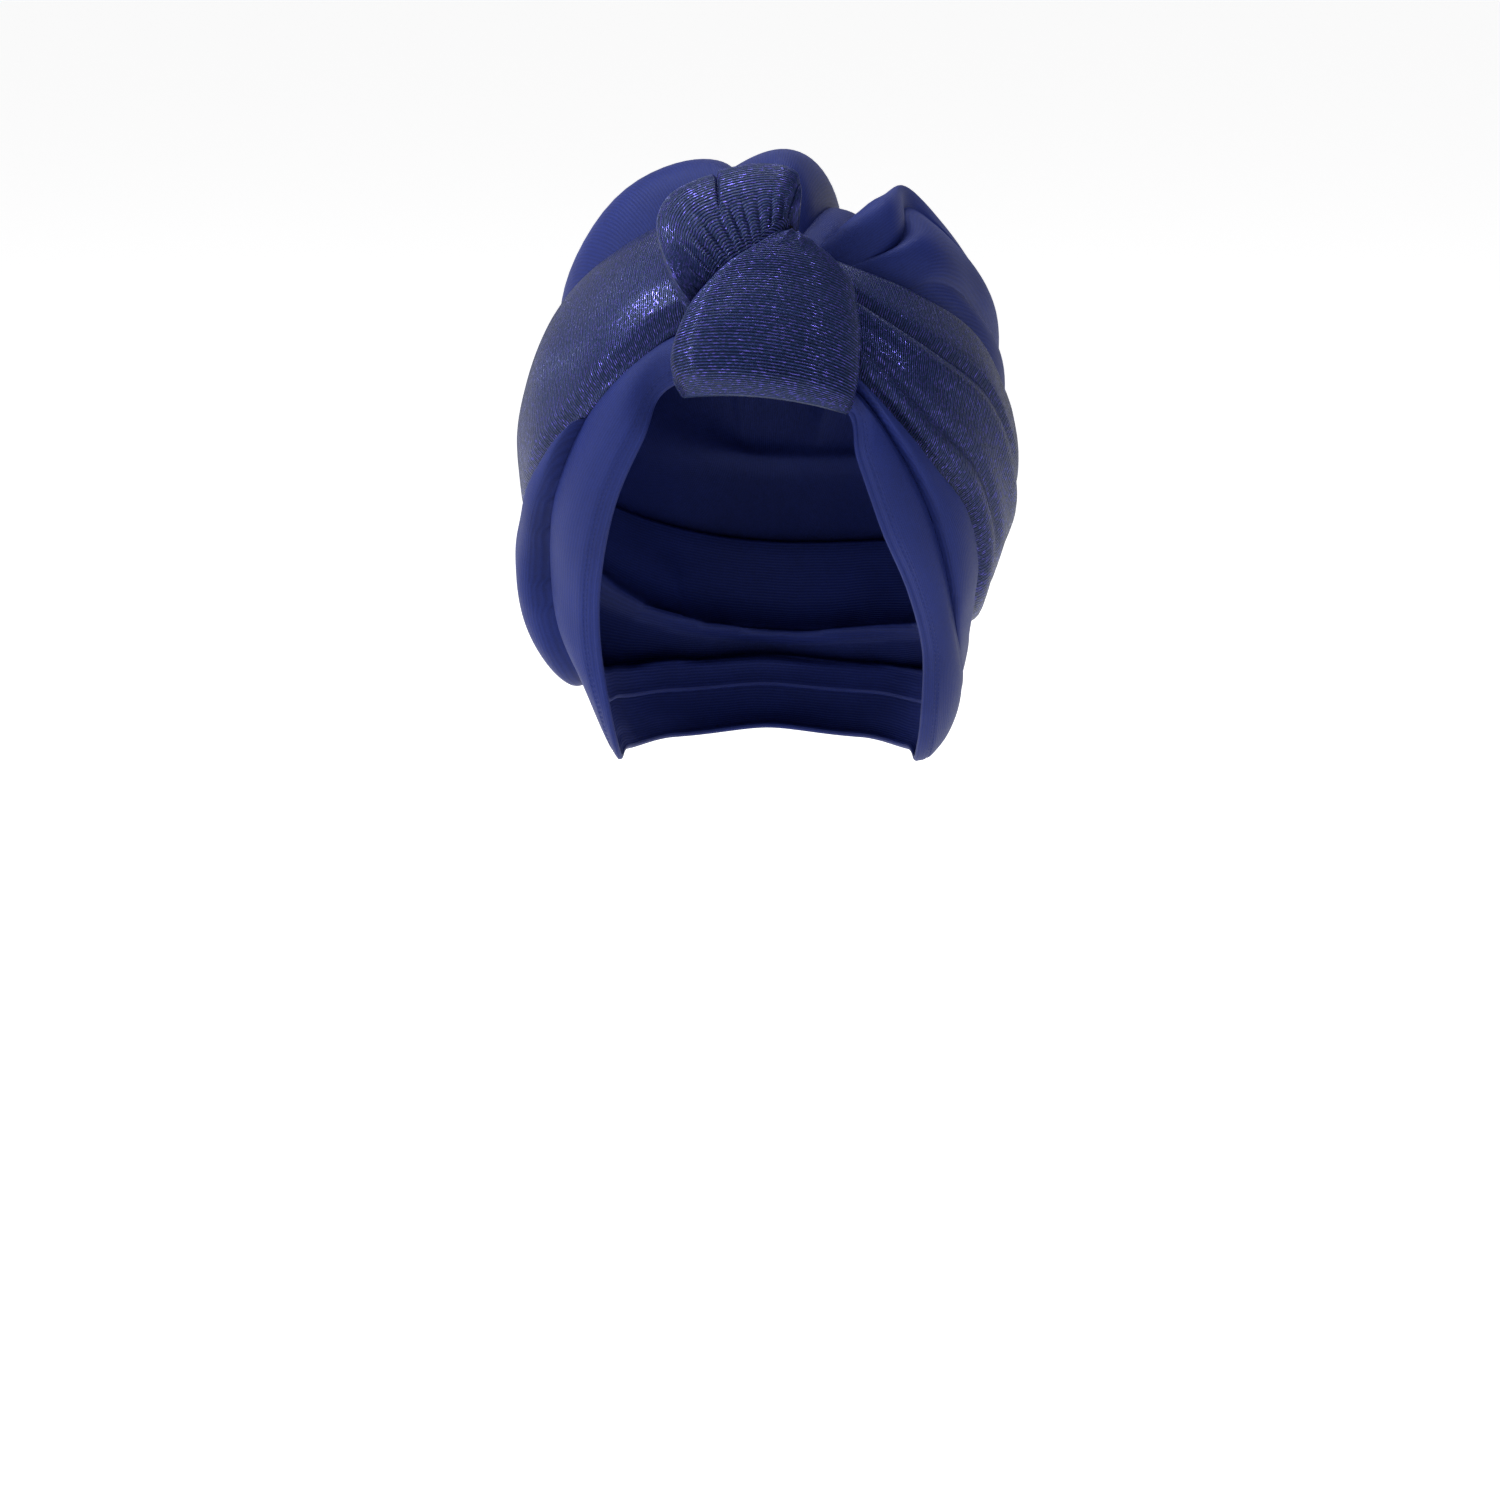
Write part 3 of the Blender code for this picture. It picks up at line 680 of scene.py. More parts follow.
def blank_tree(name: str, numbers: tuple[str, ...], finish: str) -> tuple[bpy.types.NodeTree, NodeSketch]:
    """A geometry node tree that takes a shape, some numbers and a material, and gives a shape.

    Args:
        name: the tree's name.
        numbers: the names of its numbers.
        finish: the name of its material.

    Returns:
        The tree and a sketch of it.
    """
    made = bpy.data.node_groups.new(name, "GeometryNodeTree")
    inputs = [("Geometry", "Geometry"), *((title, "Float") for title in numbers), (finish, "Material")]
    for title, kind in inputs:
        made.interface.new_socket(title, in_out="INPUT", socket_type=f"NodeSocket{kind}")
    made.interface.new_socket("Geometry", in_out="OUTPUT", socket_type="NodeSocketGeometry")
    return made, NodeSketch(made)


@dataclass(frozen=True)
class RibRelief:
    """Raised ribs over a cloth's outer sheet, made by Geometry Nodes along its weave.

    Attributes:
        depth: how far the ribs stand out.
        group: how many of the knit's ribs rise together.
        wander: how far a rib strays, in ribs.
        seed: which way they stray.
        pitch: from rib to rib.
    """

    depth: float
    group: float = 1.0
    wander: float = 0.35
    seed: float = 3.0
    pitch: float = 1.05 * MM

    def tree(self) -> bpy.types.NodeTree:
        """The node tree: each point keeps its place across the ribs and moves with their wave."""
        made, sketch = blank_tree("rib_relief", ("Pitch", "Depth", "Group", "Wander", "Seed"), "Cloth")
        given = sketch.add("NodeGroupInput").outputs
        run, line, shown = (
            sketch.add("GeometryNodeInputNamedAttribute", {"Name": title}, data_type="FLOAT").outputs[0]
            for title in ("rib_run", "rib_line", "shown")
        )
        turns = sketch.math("DIVIDE", run, given["Pitch"])
        slow = sketch.times(line, 14.0)
        spot = sketch.point(sketch.times(turns, 0.16), slow, given["Seed"])
        fine = sketch.point(turns, slow, given["Seed"])
        phase = sketch.plus(turns, sketch.times(sketch.noise(spot, 1.0), given["Wander"]))
        wave = sketch.wave("COSINE", sketch.math("DIVIDE", phase, given["Group"]))
        crinkle = sketch.spread(sketch.noise(fine, 0.8, 1.0), 0.3, 0.7, -1, 1)
        relief = sketch.plus(sketch.times(wave, 0.75), sketch.times(crinkle, 0.25))
        height = sketch.times(sketch.times(relief, given["Depth"]), shown)
        normal = sketch.add("GeometryNodeInputNormal").outputs[0]
        shift = sketch.add("ShaderNodeVectorMath", {0: normal, "Scale": height}, operation="SCALE")
        kept = sketch.add(
            "GeometryNodeStoreNamedAttribute",
            {"Geometry": given["Geometry"], "Name": PHASE, "Value": phase},
            data_type="FLOAT",
            domain="POINT",
        )
        feeds = {"Geometry": kept.outputs[0], "Offset": shift.outputs[0]}
        sketch.give(sketch.add("GeometryNodeSetPosition", feeds).outputs[0], given["Cloth"])
        return made

    def apply(self, item: Item, material: Material) -> None:
        """Raise the ribs on an object and keep the result as its mesh."""
        values = {"Pitch": self.pitch, "Depth": self.depth, "Group": self.group, "Wander": self.wander}
        bake_nodes(item, self.tree(), {**values, "Seed": self.seed, "Cloth": material})


def bake_nodes(item: Item, tree: bpy.types.NodeTree, values: dict[str, object]) -> None:
    """Run a node tree on an object and keep the result as a plain mesh.

    Args:
        item: the object.
        tree: its geometry nodes.
        values: the tree's inputs by name.
    """
    modifier = item.modifiers.new(tree.name, "NODES")
    modifier.node_group = tree
    for socket in tree.interface.items_tree:
        if socket.in_out == "INPUT" and socket.name in values:
            modifier[socket.identifier] = values[socket.name]
    bpy.context.view_layer.update()
    shaped = item.evaluated_get(bpy.context.evaluated_depsgraph_get())
    mesh = bpy.data.meshes.new_from_object(shaped)
    item.modifiers.remove(modifier)
    item.data = mesh


@dataclass(frozen=True)
class StitchRow:
    """A row of machine stitches along a line, made by Geometry Nodes."""

    pitch: float = 2.6 * MM
    length: float = 2.0 * MM
    thickness: float = 0.32 * MM

    def tree(self) -> bpy.types.NodeTree:
        """The node tree: the line is cut at each stitch, and a thread lies on every cut."""
        made, sketch = blank_tree("stitch_row", ("Pitch", "Length", "Thickness"), "Thread")
        given = sketch.add("NodeGroupInput").outputs
        line = sketch.add("GeometryNodeMeshToCurve", {0: given["Geometry"]})
        feeds = {"Curve": line.outputs[0], "Length": given["Pitch"]}
        cut = sketch.add("GeometryNodeResampleCurve", feeds, mode="LENGTH")
        bead = sketch.add("GeometryNodeMeshUVSphere", {"Segments": 6, "Rings": 4, "Radius": 0.5})
        scale = sketch.point(given["Thickness"], given["Length"], given["Thickness"])
        thread = sketch.add("GeometryNodeTransform", {"Geometry": bead.outputs[0], "Scale": scale})
        tangent = sketch.add("GeometryNodeInputTangent").outputs[0]
        aim = sketch.add("FunctionNodeAlignRotationToVector", {"Vector": tangent}, axis="Y")
        smooth = sketch.add("GeometryNodeSetShadeSmooth", {"Geometry": thread.outputs[0]})
        feeds = {"Points": cut.outputs[0], "Instance": smooth.outputs[0], "Rotation": aim.outputs[0]}
        sketch.give(sketch.add("GeometryNodeInstanceOnPoints", feeds).outputs[0], given["Thread"])
        return made

    def sew(self, name: str, lines: list[Grid], material: Material) -> Item:
        """Sew along closed lines.

        Args:
            name: the piece's name.
            lines: the points of each line.
            material: the thread's finish.

        Returns:
            The stitches as one object.
        """
        points = np.concatenate(lines)
        edges, start = [], 0
        for line in lines:
            edges += [(start + step, start + (step + 1) % len(line)) for step in range(len(line))]
            start += len(line)
        mesh = bpy.data.meshes.new(name)
        mesh.from_pydata(points.tolist(), edges, [])
        item = placed(name, mesh)
        values = {"Pitch": self.pitch, "Length": self.length, "Thickness": self.thickness, "Thread": material}
        bake_nodes(item, self.tree(), values)
        return item


@dataclass
class Piece:
    """A piece of cloth, with what it stands for."""

    name: str
    node: str
    slot: Slot

    def finish(self, item: Item) -> None:
        """Tie a finished object to the frame, and report it."""
        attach(item, BODY)
        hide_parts(self.node)
        triangles = sum(len(face.vertices) - 2 for face in item.data.polygons)
        LOG.info("%s: %d triangles for %s", item.name, triangles, self.node)

    def sheet(self, directions: Grid, radii: tuple[Grid, Grid], kept: int, **form: object) -> Item:
        """A wall of cloth between two sheets.

        Args:
            directions: the grid's directions.
            radii: the outer and the inner sheet's radii.
            kept: how many columns the inner sheet keeps.
            form: what else ClothWall is told.

        Returns:
            The wall.
        """
        chosen = np.linspace(0, directions.shape[1] - 1, kept).round().astype(int)
        outer, inner = (HEAD.points(directions, values) for values in radii)
        return ClothWall(outer, inner[:, chosen], **form).build(self.name)


@dataclass
class FaceBand(Piece):
    """The knit band round the face and the nape, from its turned rim to the seam."""

    wall: float = 2.6 * MM
    rows: int = 560
    columns: int = 40
    inner_columns: int = 14
    crowding: float = 1.35
    stitch_insets: Pair = (3.0 * MM, 4.4 * MM)
    stitch_groove: float = 0.35 * MM
    groove_reach: float = 1.1 * MM
    wave_height: float = 0.55 * MM
    waves_from: float = 12 * MM
    waves: Ripples = Ripples(11, 46 * MM)
    stitches: StitchRow = StitchRow()
    flat: Pair = (45 * MM, 620 * MM)

    def chart(self) -> tuple[Grid, Grid]:
        """Directions and outer radii of the band."""
        places = np.linspace(0, len(RING.rows), self.rows, endpoint=False)
        shares = np.linspace(0, 1, self.columns) ** self.crowding
        rim, seam = RING.line("rim", places), RING.line("seam", places)
        directions = across(rim, seam, shares)
        profile = flowing((0, 0.08, 0.3, 0.6, 0.9, 1.0), (0.05, 0.30, 0.68, 0.98, 1.05, 1.0), shares)
        least = LEAST_EASE + self.wall
        lift = least + (lift_of("seam", places, FACE_FULLNESS) - least) * profile
        radii = HEAD.reach(directions) + lift
        points = HEAD.points(directions, radii)
        from_rim = travelled(points)
        groove = -self.stitch_groove * hump(from_rim, sum(self.stitch_insets) / 2, self.groove_reach)
        waves = self.wave_height * self.waves.read(points) * smooth_step(from_rim / self.waves_from)
        return directions, radii + groove + waves

    def build(self, material: Material) -> Item:
        """Make the band."""
        directions, outer = self.chart()
        inner = np.maximum(wall_inside(directions, outer, self.wall), HEAD.reach(directions) + LEAST_EASE)
        item = self.sheet(directions, (outer, inner), self.inner_columns, closed=True, ribs=RibLines.COLUMNS)
        item.data.materials.append(material)
        self.finish(item)
        stitches = self.stitches.sew("face_band_stitches", self.stitch_lines(directions, outer), material)
        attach(stitches, BODY)
        return item

    def stitch_lines(self, directions: Grid, outer: Grid) -> list[Grid]:
        """Lines on the band's outer side at each inset from its rim."""
        points = HEAD.points(directions, outer)
        from_rim, rows, lines = travelled(points), np.arange(self.rows), []
        for inset in self.stitch_insets:
            places = [np.interp(inset, row, np.arange(self.columns)) for row in from_rim]
            low = np.floor(places).astype(int)
            part = (np.array(places) - low)[:, None]
            lines.append(points[rows, low] * (1 - part) + points[rows, low + 1] * part)
        return lines


@dataclass
class WrapBand(Piece):
    """The ribbed metallic wrap, from the knot round the back of the head to the knot."""

    wall: float = 3.0 * MM
    rows: int = 1500
    columns: int = 38
    inner_columns: int = 10
    ends: float = 0.35
    belly: float = 0.32
    strip_height: float = 1.8 * MM
    slit_depth: float = 4.6 * MM
    ridge_height: float = 2.6 * MM
    crease_depth: float = 2.2 * MM
    low_roll: float = 4.5 * MM
    high_roll: float = 1.8 * MM
    gather_height: float = 0.35 * MM
    wave_height: float = 0.8 * MM
    waves: Ripples = Ripples(5, 60 * MM)
    ribs: RibRelief = RibRelief(0.08 * MM, group=2.0, wander=0.15)
    flat: Pair = (105 * MM, 660 * MM)

    def relief(self, places: Grid, share: Grid) -> Grid:
        """Rolled edges, the two pleats on the right and the gathers beside the knot, in metres.

        Args:
            places: how far round, in rows of the ring's table.
            share: how far across, from the lower edge to the upper.

        Returns:
            How far the cloth stands out from its plain form.
        """
        right = smooth_step((8.5 - places) / 5)
        near = smooth_step((4.2 - places) / 2.6)
        flap = smooth_step((share - 0.645) / 0.02) * (1 - 0.7 * smooth_step((share - 0.68) / 0.3))
        strip = self.strip_height * right * flap
        slit = -self.slit_depth * near * hump(share, 0.625, 0.024)
        ridge = self.ridge_height * right * hump(share, 0.50, 0.075)
        crease = -self.crease_depth * right * hump(share, 0.20, 0.045)
        low = -self.low_roll * np.clip(1 - share / 0.10, 0, 1) ** 2
        high = -self.high_roll * np.clip(1 - (1 - share) / 0.06, 0, 1) ** 2
        gather = smooth_step((2.0 - (len(RING.rows) - places)) / 1.6)
        folds = self.gather_height * gather * np.sin(2 * math.pi * (share * 3.5 + 0.2))
        return strip + slit + ridge + crease + low + high + folds

    def build(self, material: Material) -> Item:
        """Make the wrap."""
        places = np.linspace(self.ends, len(RING.rows) - self.ends, self.rows)
        even = np.linspace(0, 1, self.columns)
        shares = smooth_step(even) * 0.35 + even * 0.65
        low, high = RING.line("low", places), RING.line("high", places)
        directions = across(low, high, shares)
        low_lift, high_lift = (lift_of(line, places, WRAP_FULLNESS) for line in ("low", "high"))
        lift = low_lift * (1 - shares) + high_lift * shares
        lift = lift + WRAP_FULLNESS * self.belly * shares * (1 - shares)
        lift = lift + self.relief(places[:, None], shares[None, :])
        outer = HEAD.reach(directions) + lift
        outer += self.wave_height * self.waves.read(HEAD.points(directions, outer))
        inner = wall_inside(directions, outer, self.wall)
        item = self.sheet(directions, (outer, inner), self.inner_columns, closed=False, ribs=RibLines.ROWS)
        self.ribs.apply(item, material)
        self.finish(item)
        return item


@dataclass
class Crown(Piece):
    """The puffed crown: folds that run from behind the knot over the head and fade towards the back."""

    wall: float = 2.5 * MM
    fullness: float = 36 * MM
    tilt: float = 43.0
    sink: float = 7 * MM
    sweep_start: float = 12.0
    sweep_end: float = 156.0
    edge_right: float = -8.0
    edge_left: float = 172.0
    narrow_front: float = 0.3
    narrow_back: float = 0.16
    rows: int = 190
    steps_per_fold: int = 28
    soft_rounds: int = 10
    wave_height: float = 0.6 * MM
    waves: Ripples = Ripples(23, 50 * MM)
    flat: Pair = (300 * MM, 330 * MM)
    # Each fold: start and end on the fan in degrees, height, the rise left in the valley after it near the
    # knot and farther out, and how far that valley bends to the left on its way
    folds: Rows = (
        (-5, 19, 1.08, 0.86, 0.50, 0),
        (19, 31, 0.89, 0.90, 0.28, 0),
        (31, 42, 1.06, 0.42, 0.90, 14),
        (42, 62, 1.12, 0.02, 0.05, 0),
        (62, 74, 0.50, 0.02, 0.03, 0),
        (74, 98, 1.01, 0.40, 0.56, 0),
        (98, 142, 1.17, 0.20, 0.24, 0),
        (142, 157, 0.54, 0.00, 0.00, 0),
    )
    # Where the cloth is pressed in: fan, sweep and reach in degrees, and depth
    dents: Rows = (
        (121, 38, 7, 3.4 * MM),
        (108, 60, 12, 2.0 * MM),
        (63, 44, 6, 1.6 * MM),
        (142, 62, 14, 2.5 * MM),
    )

    def fan_direction(self, fan: Grid, sweep: Grid) -> Grid:
        """Directions from the fan and the sweep in degrees."""
        tilt = math.radians(self.tilt)
        to_nape = np.array([0.0, math.cos(tilt), -math.sin(tilt)])
        to_crown = np.array([0.0, math.sin(tilt), math.cos(tilt)])
        to_right = np.array([1.0, 0.0, 0.0])
        turn, along = np.radians(fan)[..., None], np.radians(sweep)[..., None]
        return -np.cos(along) * to_nape + np.sin(along) * (np.cos(turn) * to_right + np.sin(turn) * to_crown)

    def fold_lines(self, sweeps: Grid) -> tuple[Grid, Grid, Grid]:
        """Each point's fan, how far it has risen on its fold, and the folds' heights.

        Args:
            sweeps: the rows, in degrees from the knot.

        Returns:
            Grids of fans and rises, and one height for each column.
        """
        bent = hump(sweeps, 50, 11)
        outward = smooth_step((sweeps - 34) / 26)
        shares = 0.5 - 0.5 * np.cos(math.pi * np.arange(self.steps_per_fold) / self.steps_per_fold)
        fans, rises, heights = [np.full((len(sweeps), 1), self.edge_right)], [np.zeros((len(sweeps), 1))], []
        before, shift = np.zeros(len(sweeps)), 0.0
        for start, end, height, near, far, bend in self.folds:
            first, last = start + shift * bent, end + bend * bent
            after = near + (far - near) * outward
            base = before[:, None] + (after - before)[:, None] * shares
            fans.append(first[:, None] + (last - first)[:, None] * shares)
            rises.append(base + (1 - base) * np.sin(math.pi * shares) ** 0.6)
            heights += [height] * len(shares)
            before, shift = after, bend
        fans.append(np.tile([self.folds[-1][1], self.edge_left], (len(sweeps), 1)))
        rises.append(np.zeros((len(sweeps), 2)))
        heights = [heights[0], *heights, heights[-1], heights[-1]]
        blur = np.hanning(2 * self.steps_per_fold // 3 + 1)
        half = len(blur) // 2
        heights = np.convolve(np.pad(heights, half, mode="edge"), blur / blur.sum(), mode="valid")
        return np.concatenate(fans, axis=1), np.concatenate(rises, axis=1), heights

    def pressed(self, fan: Grid, sweep: Grid) -> Grid:
        """How far the dents press the cloth in."""
        total = np.zeros(fan.shape)
        for at_fan, at_sweep, reach, depth in self.dents:
            apart = np.hypot((fan - at_fan) * np.sin(np.radians(sweep)), sweep - at_sweep)
            total += depth * hump(apart, 0, reach)
        return total

    def floor(self, directions: Grid) -> tuple[Grid, Grid]:
        """How far the crown stands off the head between its folds, and its angle above the wrap's edge."""
        places = np.linspace(0, len(RING.rows), 240, endpoint=False)
        edge = RING.line("high", places)
        lift = RING.value("high_lift", places) * WRAP_FULLNESS - UNDER_WRAP
        flat = directions.reshape(-1, 3)
        angles = np.degrees(np.arccos(np.clip(flat @ edge.T, -1, 1)))
        weights = 1 / (angles + 1.5) ** 3
        floor = (weights * lift).sum(axis=1) / weights.sum(axis=1)
        turns = np.degrees(np.arctan2(edge[:, 0], -edge[:, 1])) % 360
        rise = np.degrees(np.arcsin(edge[:, 2]))
        order = np.argsort(turns)
        own_turn = np.degrees(np.arctan2(flat[:, 0], -flat[:, 1])) % 360
        own_rise = np.degrees(np.arcsin(np.clip(flat[:, 2], -1, 1)))
        above = own_rise > np.interp(own_turn, turns[order], rise[order], period=360)
        away = np.where(above, angles.min(axis=1), -angles.min(axis=1))
        floor = floor - self.sink * smooth_step(away / 35)
        return floor.reshape(directions.shape[:2]), away.reshape(directions.shape[:2])

    def build(self, material: Material, wrap: Item) -> Item:
        """Make the crown, with its edges tucked under the wrap."""
        sweeps = np.linspace(self.sweep_start, self.sweep_end, self.rows)
        fan, rises, heights = self.fold_lines(sweeps)
        sweep = np.repeat(sweeps[:, None], fan.shape[1], axis=1)
        narrow = self.narrow_back * smooth_step((sweep - 110) / 46)
        narrow += self.narrow_front * smooth_step((34 - sweep) / 20)
        fan = fan + (90 - fan) * narrow
        directions = self.fan_direction(fan, sweep)
        floor, away = self.floor(directions)
        back = smooth_step((sweep - 70) / 62)
        start = smooth_step((sweep - 18) / 18)
        puff = round_rise((away - 2) / (7 + 15 * back)) * start
        rise = rises * (1 - 0.7 * back) + 0.6 * back
        top = self.fullness * heights[None, :] * (1 - 0.30 * back)
        lift = softened(floor + np.maximum(top - floor, self.wall) * rise * puff, self.soft_rounds, False)
        outer = HEAD.reach(directions) + lift - self.pressed(fan, sweep) * puff
        outer += self.wave_height * self.waves.read(HEAD.points(directions, outer)) * puff
        limit = seen_from_inside([wrap], directions, True)
        outer = eased_under(outer, limit - LAYER_GAP, self.soft_rounds, False)
        inner = np.maximum(wall_inside(directions, outer, self.wall), HEAD.reach(directions) + LEAST_EASE)
        form = {"closed": False, "ribs": RibLines.COLUMNS, "edge_steps": 3}
        item = self.sheet(directions, (outer, inner), outer.shape[1] // 3, **form)
        item.data.materials.append(material)
        self.finish(item)
        return item


@dataclass
class SideCap(Piece):
    """The lower cap: it puffs out between face band and wrap, goes round the nape and runs under both."""

    wall: float = 2.5 * MM
    fullness: float = 30 * MM
    rows: int = 560
    columns: int = 46
    hem_columns: int = 5
    hem: float = 0.35
    tuck_columns: int = 14
    tuck: float = 0.5
    tuck_depth: float = 6 * MM
    roundness: float = 2.6
    soft_rounds: int = 8
    thinnest: float = 1.0 * MM
    wave_height: float = 0.9 * MM
    waves: Ripples = Ripples(31, 42 * MM)
    flat: Pair = (105 * MM, 600 * MM)

    def build(self, material: Material, over: list[Item]) -> Item:
        """Make the side cap under the pieces that cover its edges."""
        places = np.linspace(0, len(RING.rows), self.rows, endpoint=False)
        rim, seam = RING.line("rim", places), RING.line("seam", places)
        low, high = RING.line("low", places), RING.line("high", places)
        seam_lift = lift_of("seam", places, FACE_FULLNESS) - UNDER_FACE
        puff_lift = lift_of("puff", places, self.fullness)
        low_lift = lift_of("low", places, WRAP_FULLNESS) - UNDER_WRAP
        high_lift = lift_of("high", places, WRAP_FULLNESS) - self.tuck_depth
        under = np.linspace(self.hem, 0.0, self.hem_columns + 1)[:-1]
        shares = np.linspace(0, 1, self.columns)
        tucks = np.linspace(0, self.tuck, self.tuck_columns)[1:]
        level = seam_lift + (low_lift - seam_lift) * shares
        puffed = level + np.maximum(puff_lift - level, 0) * pillow(shares, self.roundness)
        strips = across(seam, rim, under), across(seam, low, shares), across(low, high, tucks)
        lifts = seam_lift * (1 - under * 0.7), puffed, low_lift + (high_lift - low_lift) * tucks
        directions, lift = np.concatenate(strips, axis=1), np.concatenate(lifts, axis=1)
        outer = HEAD.reach(directions) + lift
        visible = slice(len(under), len(under) + self.columns)
        waves = self.wave_height * self.waves.read(HEAD.points(directions, outer))
        outer[:, visible] += waves[:, visible] * pillow(shares, 2.0)
        for piece in over:
            limit = seen_from_inside([piece], directions, True)
            outer = eased_under(outer, limit - LAYER_GAP, self.soft_rounds, True)
        inner = wall_inside(directions, outer, self.wall)
        inner = np.clip(inner, HEAD.reach(directions) + LAYER_GAP, outer - self.thinnest)
        item = self.sheet(directions, (outer, inner), outer.shape[1] // 2, closed=True, ribs=RibLines.COLUMNS)
        item.data.materials.append(material)
        self.finish(item)
        return item


@dataclass
class KnotPiece(Piece):
    """A wound fold of the knot: a pad between two edge lines that lies on the cloth under it."""

    table: Table
    rib_lines: RibLines
    ribs: RibRelief
    fullness: float = 46 * MM
    gap: float = 0.8 * MM
    least_height: float = 6.4 * MM
    thinnest: float = 1.0 * MM
    bulge: float = 1.2 * MM
    rows: int = 430
    columns: int = 110

    def places(self) -> Grid:
        """Where each row lies in the table."""
        return np.linspace(0, len(self.table.rows) - 1, self.rows)

    def shares(self) -> Grid:
        """How far across each column lies."""
        return np.linspace(0, 1, self.columns)

    def shape(self) -> tuple[Grid, Grid]:
        """Directions and how far the top of the fold stands off the head."""
        raise NotImplementedError

    def rolled(self) -> Grid:
        """How far the top has risen from the cloth under it, nothing at an edge that turns under."""
        raise NotImplementedError

    def build(self, material: Material, under: list[Item]) -> Item:
        """Make the fold over the pieces that it lies on."""
        directions, lift = self.shape()
        reach = HEAD.reach(directions)
        chosen = np.linspace(0, self.columns - 1, self.columns // 4).round().astype(int)
        floor = seen_from_inside(under, directions[:, chosen], False) + self.gap
        floor = softened(np.fmax(floor, reach[:, chosen] + self.least_height), 3, False)
        wide = np.stack([np.interp(np.arange(self.columns), chosen, row) for row in floor])
        outer = wide + self.thinnest + np.maximum(reach + lift - wide - self.thinnest, 0) * self.rolled()
        sheets = HEAD.points(directions, outer), HEAD.points(directions[:, chosen], floor)
        item = ClothWall(*sheets, False, self.rib_lines, bulge=self.bulge, edge_steps=9).build(self.name)
        self.ribs.apply(item, material)
        self.finish(item)
        return item


@dataclass
class KnotLoop(KnotPiece):
    """The gathered loop at the top left of the knot, whose pleats spread from its inner edge."""

    rows: int = 420
    rib_lines: RibLines = RibLines.COLUMNS
    ribs: RibRelief = RibRelief(0.16 * MM, seed=7.0)
    pleat_depth: float = 1.5 * MM
    cleft_depth: float = 1.5 * MM
    step_height: float = 0.9 * MM
    crease_depth: float = 1.6 * MM
    table: Table = Table(
        ("inner_az", "inner_el", "outer_az", "outer_el", "inner", "outer"),
        (
            (-17.6, 45.5, -20.7, 45.8, 0.50, 0.50),
            (-16.8, 47.0, -24.6, 47.3, 0.54, 0.68),
            (-15.0, 48.4, -29.0, 50.4, 0.57, 0.80),
            (-13.0, 49.6, -35.0, 55.0, 0.60, 0.90),
            (-11.0, 50.8, -39.2, 59.1, 0.62, 0.95),
            (-8.8, 51.8, -39.6, 63.4, 0.64, 0.97),
            (-6.6, 52.7, -33.6, 66.9, 0.66, 0.97),
            (-4.8, 53.6, -26.2, 69.2, 0.67, 0.96),
            (-3.0, 54.2, -16.0, 70.5, 0.68, 0.98),
            (-0.8, 55.3, -3.0, 71.0, 0.70, 1.00),
            (1.6, 56.3, 7.6, 70.2, 0.72, 1.00),
            (4.0, 57.8, 13.2, 68.6, 0.73, 0.96),
            (6.0, 59.2, 13.0, 65.3, 0.72, 0.87),
            (8.0, 60.6, 10.4, 62.4, 0.68, 0.76),
        ),
        False,
    )

    def shape(self) -> tuple[Grid, Grid]:
        """Directions and lift, with the pleats that spread from the inner edge."""
        places, shares = self.places(), self.shares()
        directions = across(self.table.line("inner", places), self.table.line("outer", places), shares)
        low, high = (self.table.value(name, places)[:, None] for name in ("inner", "outer"))
        climb = flowing(
            (0.0, 0.08, 0.2, 0.36, 0.54, 0.72, 0.86, 0.95, 1.0),
            (-0.25, 0.0, 0.30, 0.62, 0.86, 1.0, 1.0, 0.88, 0.60),
            shares,
        )
        lift = self.fullness * (low + (high - low) * climb)
        turn = places[:, None]
        spread = hump(shares, 0.30, 0.17)[None, :]
        outward = smooth_step((shares - 0.3) / 0.3)
        pleats = -self.pleat_depth * spread * (1 - np.abs(np.sin(math.pi * (turn - 0.3) / 0.92))) ** 1.3
        bend = 7.1 - 1.5 * smooth_step((0.95 - shares) / 0.8)[None, :]
        cleft = -self.cleft_depth * hump(turn, bend, 0.10) * smooth_step((shares - 0.35) / 0.3)
        raised = smooth_step((turn - bend) / 0.12) * smooth_step((9.4 - turn) / 2.4)
        step = self.step_height * raised * outward
        crease = -self.crease_depth * hump(turn, 11.35, 0.16) * outward
        return directions, lift + pleats + cleft + step + crease

    def rolled(self) -> Grid:
        """The outer edge and both ends turn under."""
        places, shares = self.places()[:, None], self.shares()[None, :]
        left = len(self.table.rows) - 1 - places
        ends = round_rise(places / 0.8 + 0.05) * round_rise(left / 0.7 + 0.05)
        return ends * round_rise((1 - shares) / 0.09 + 0.1)


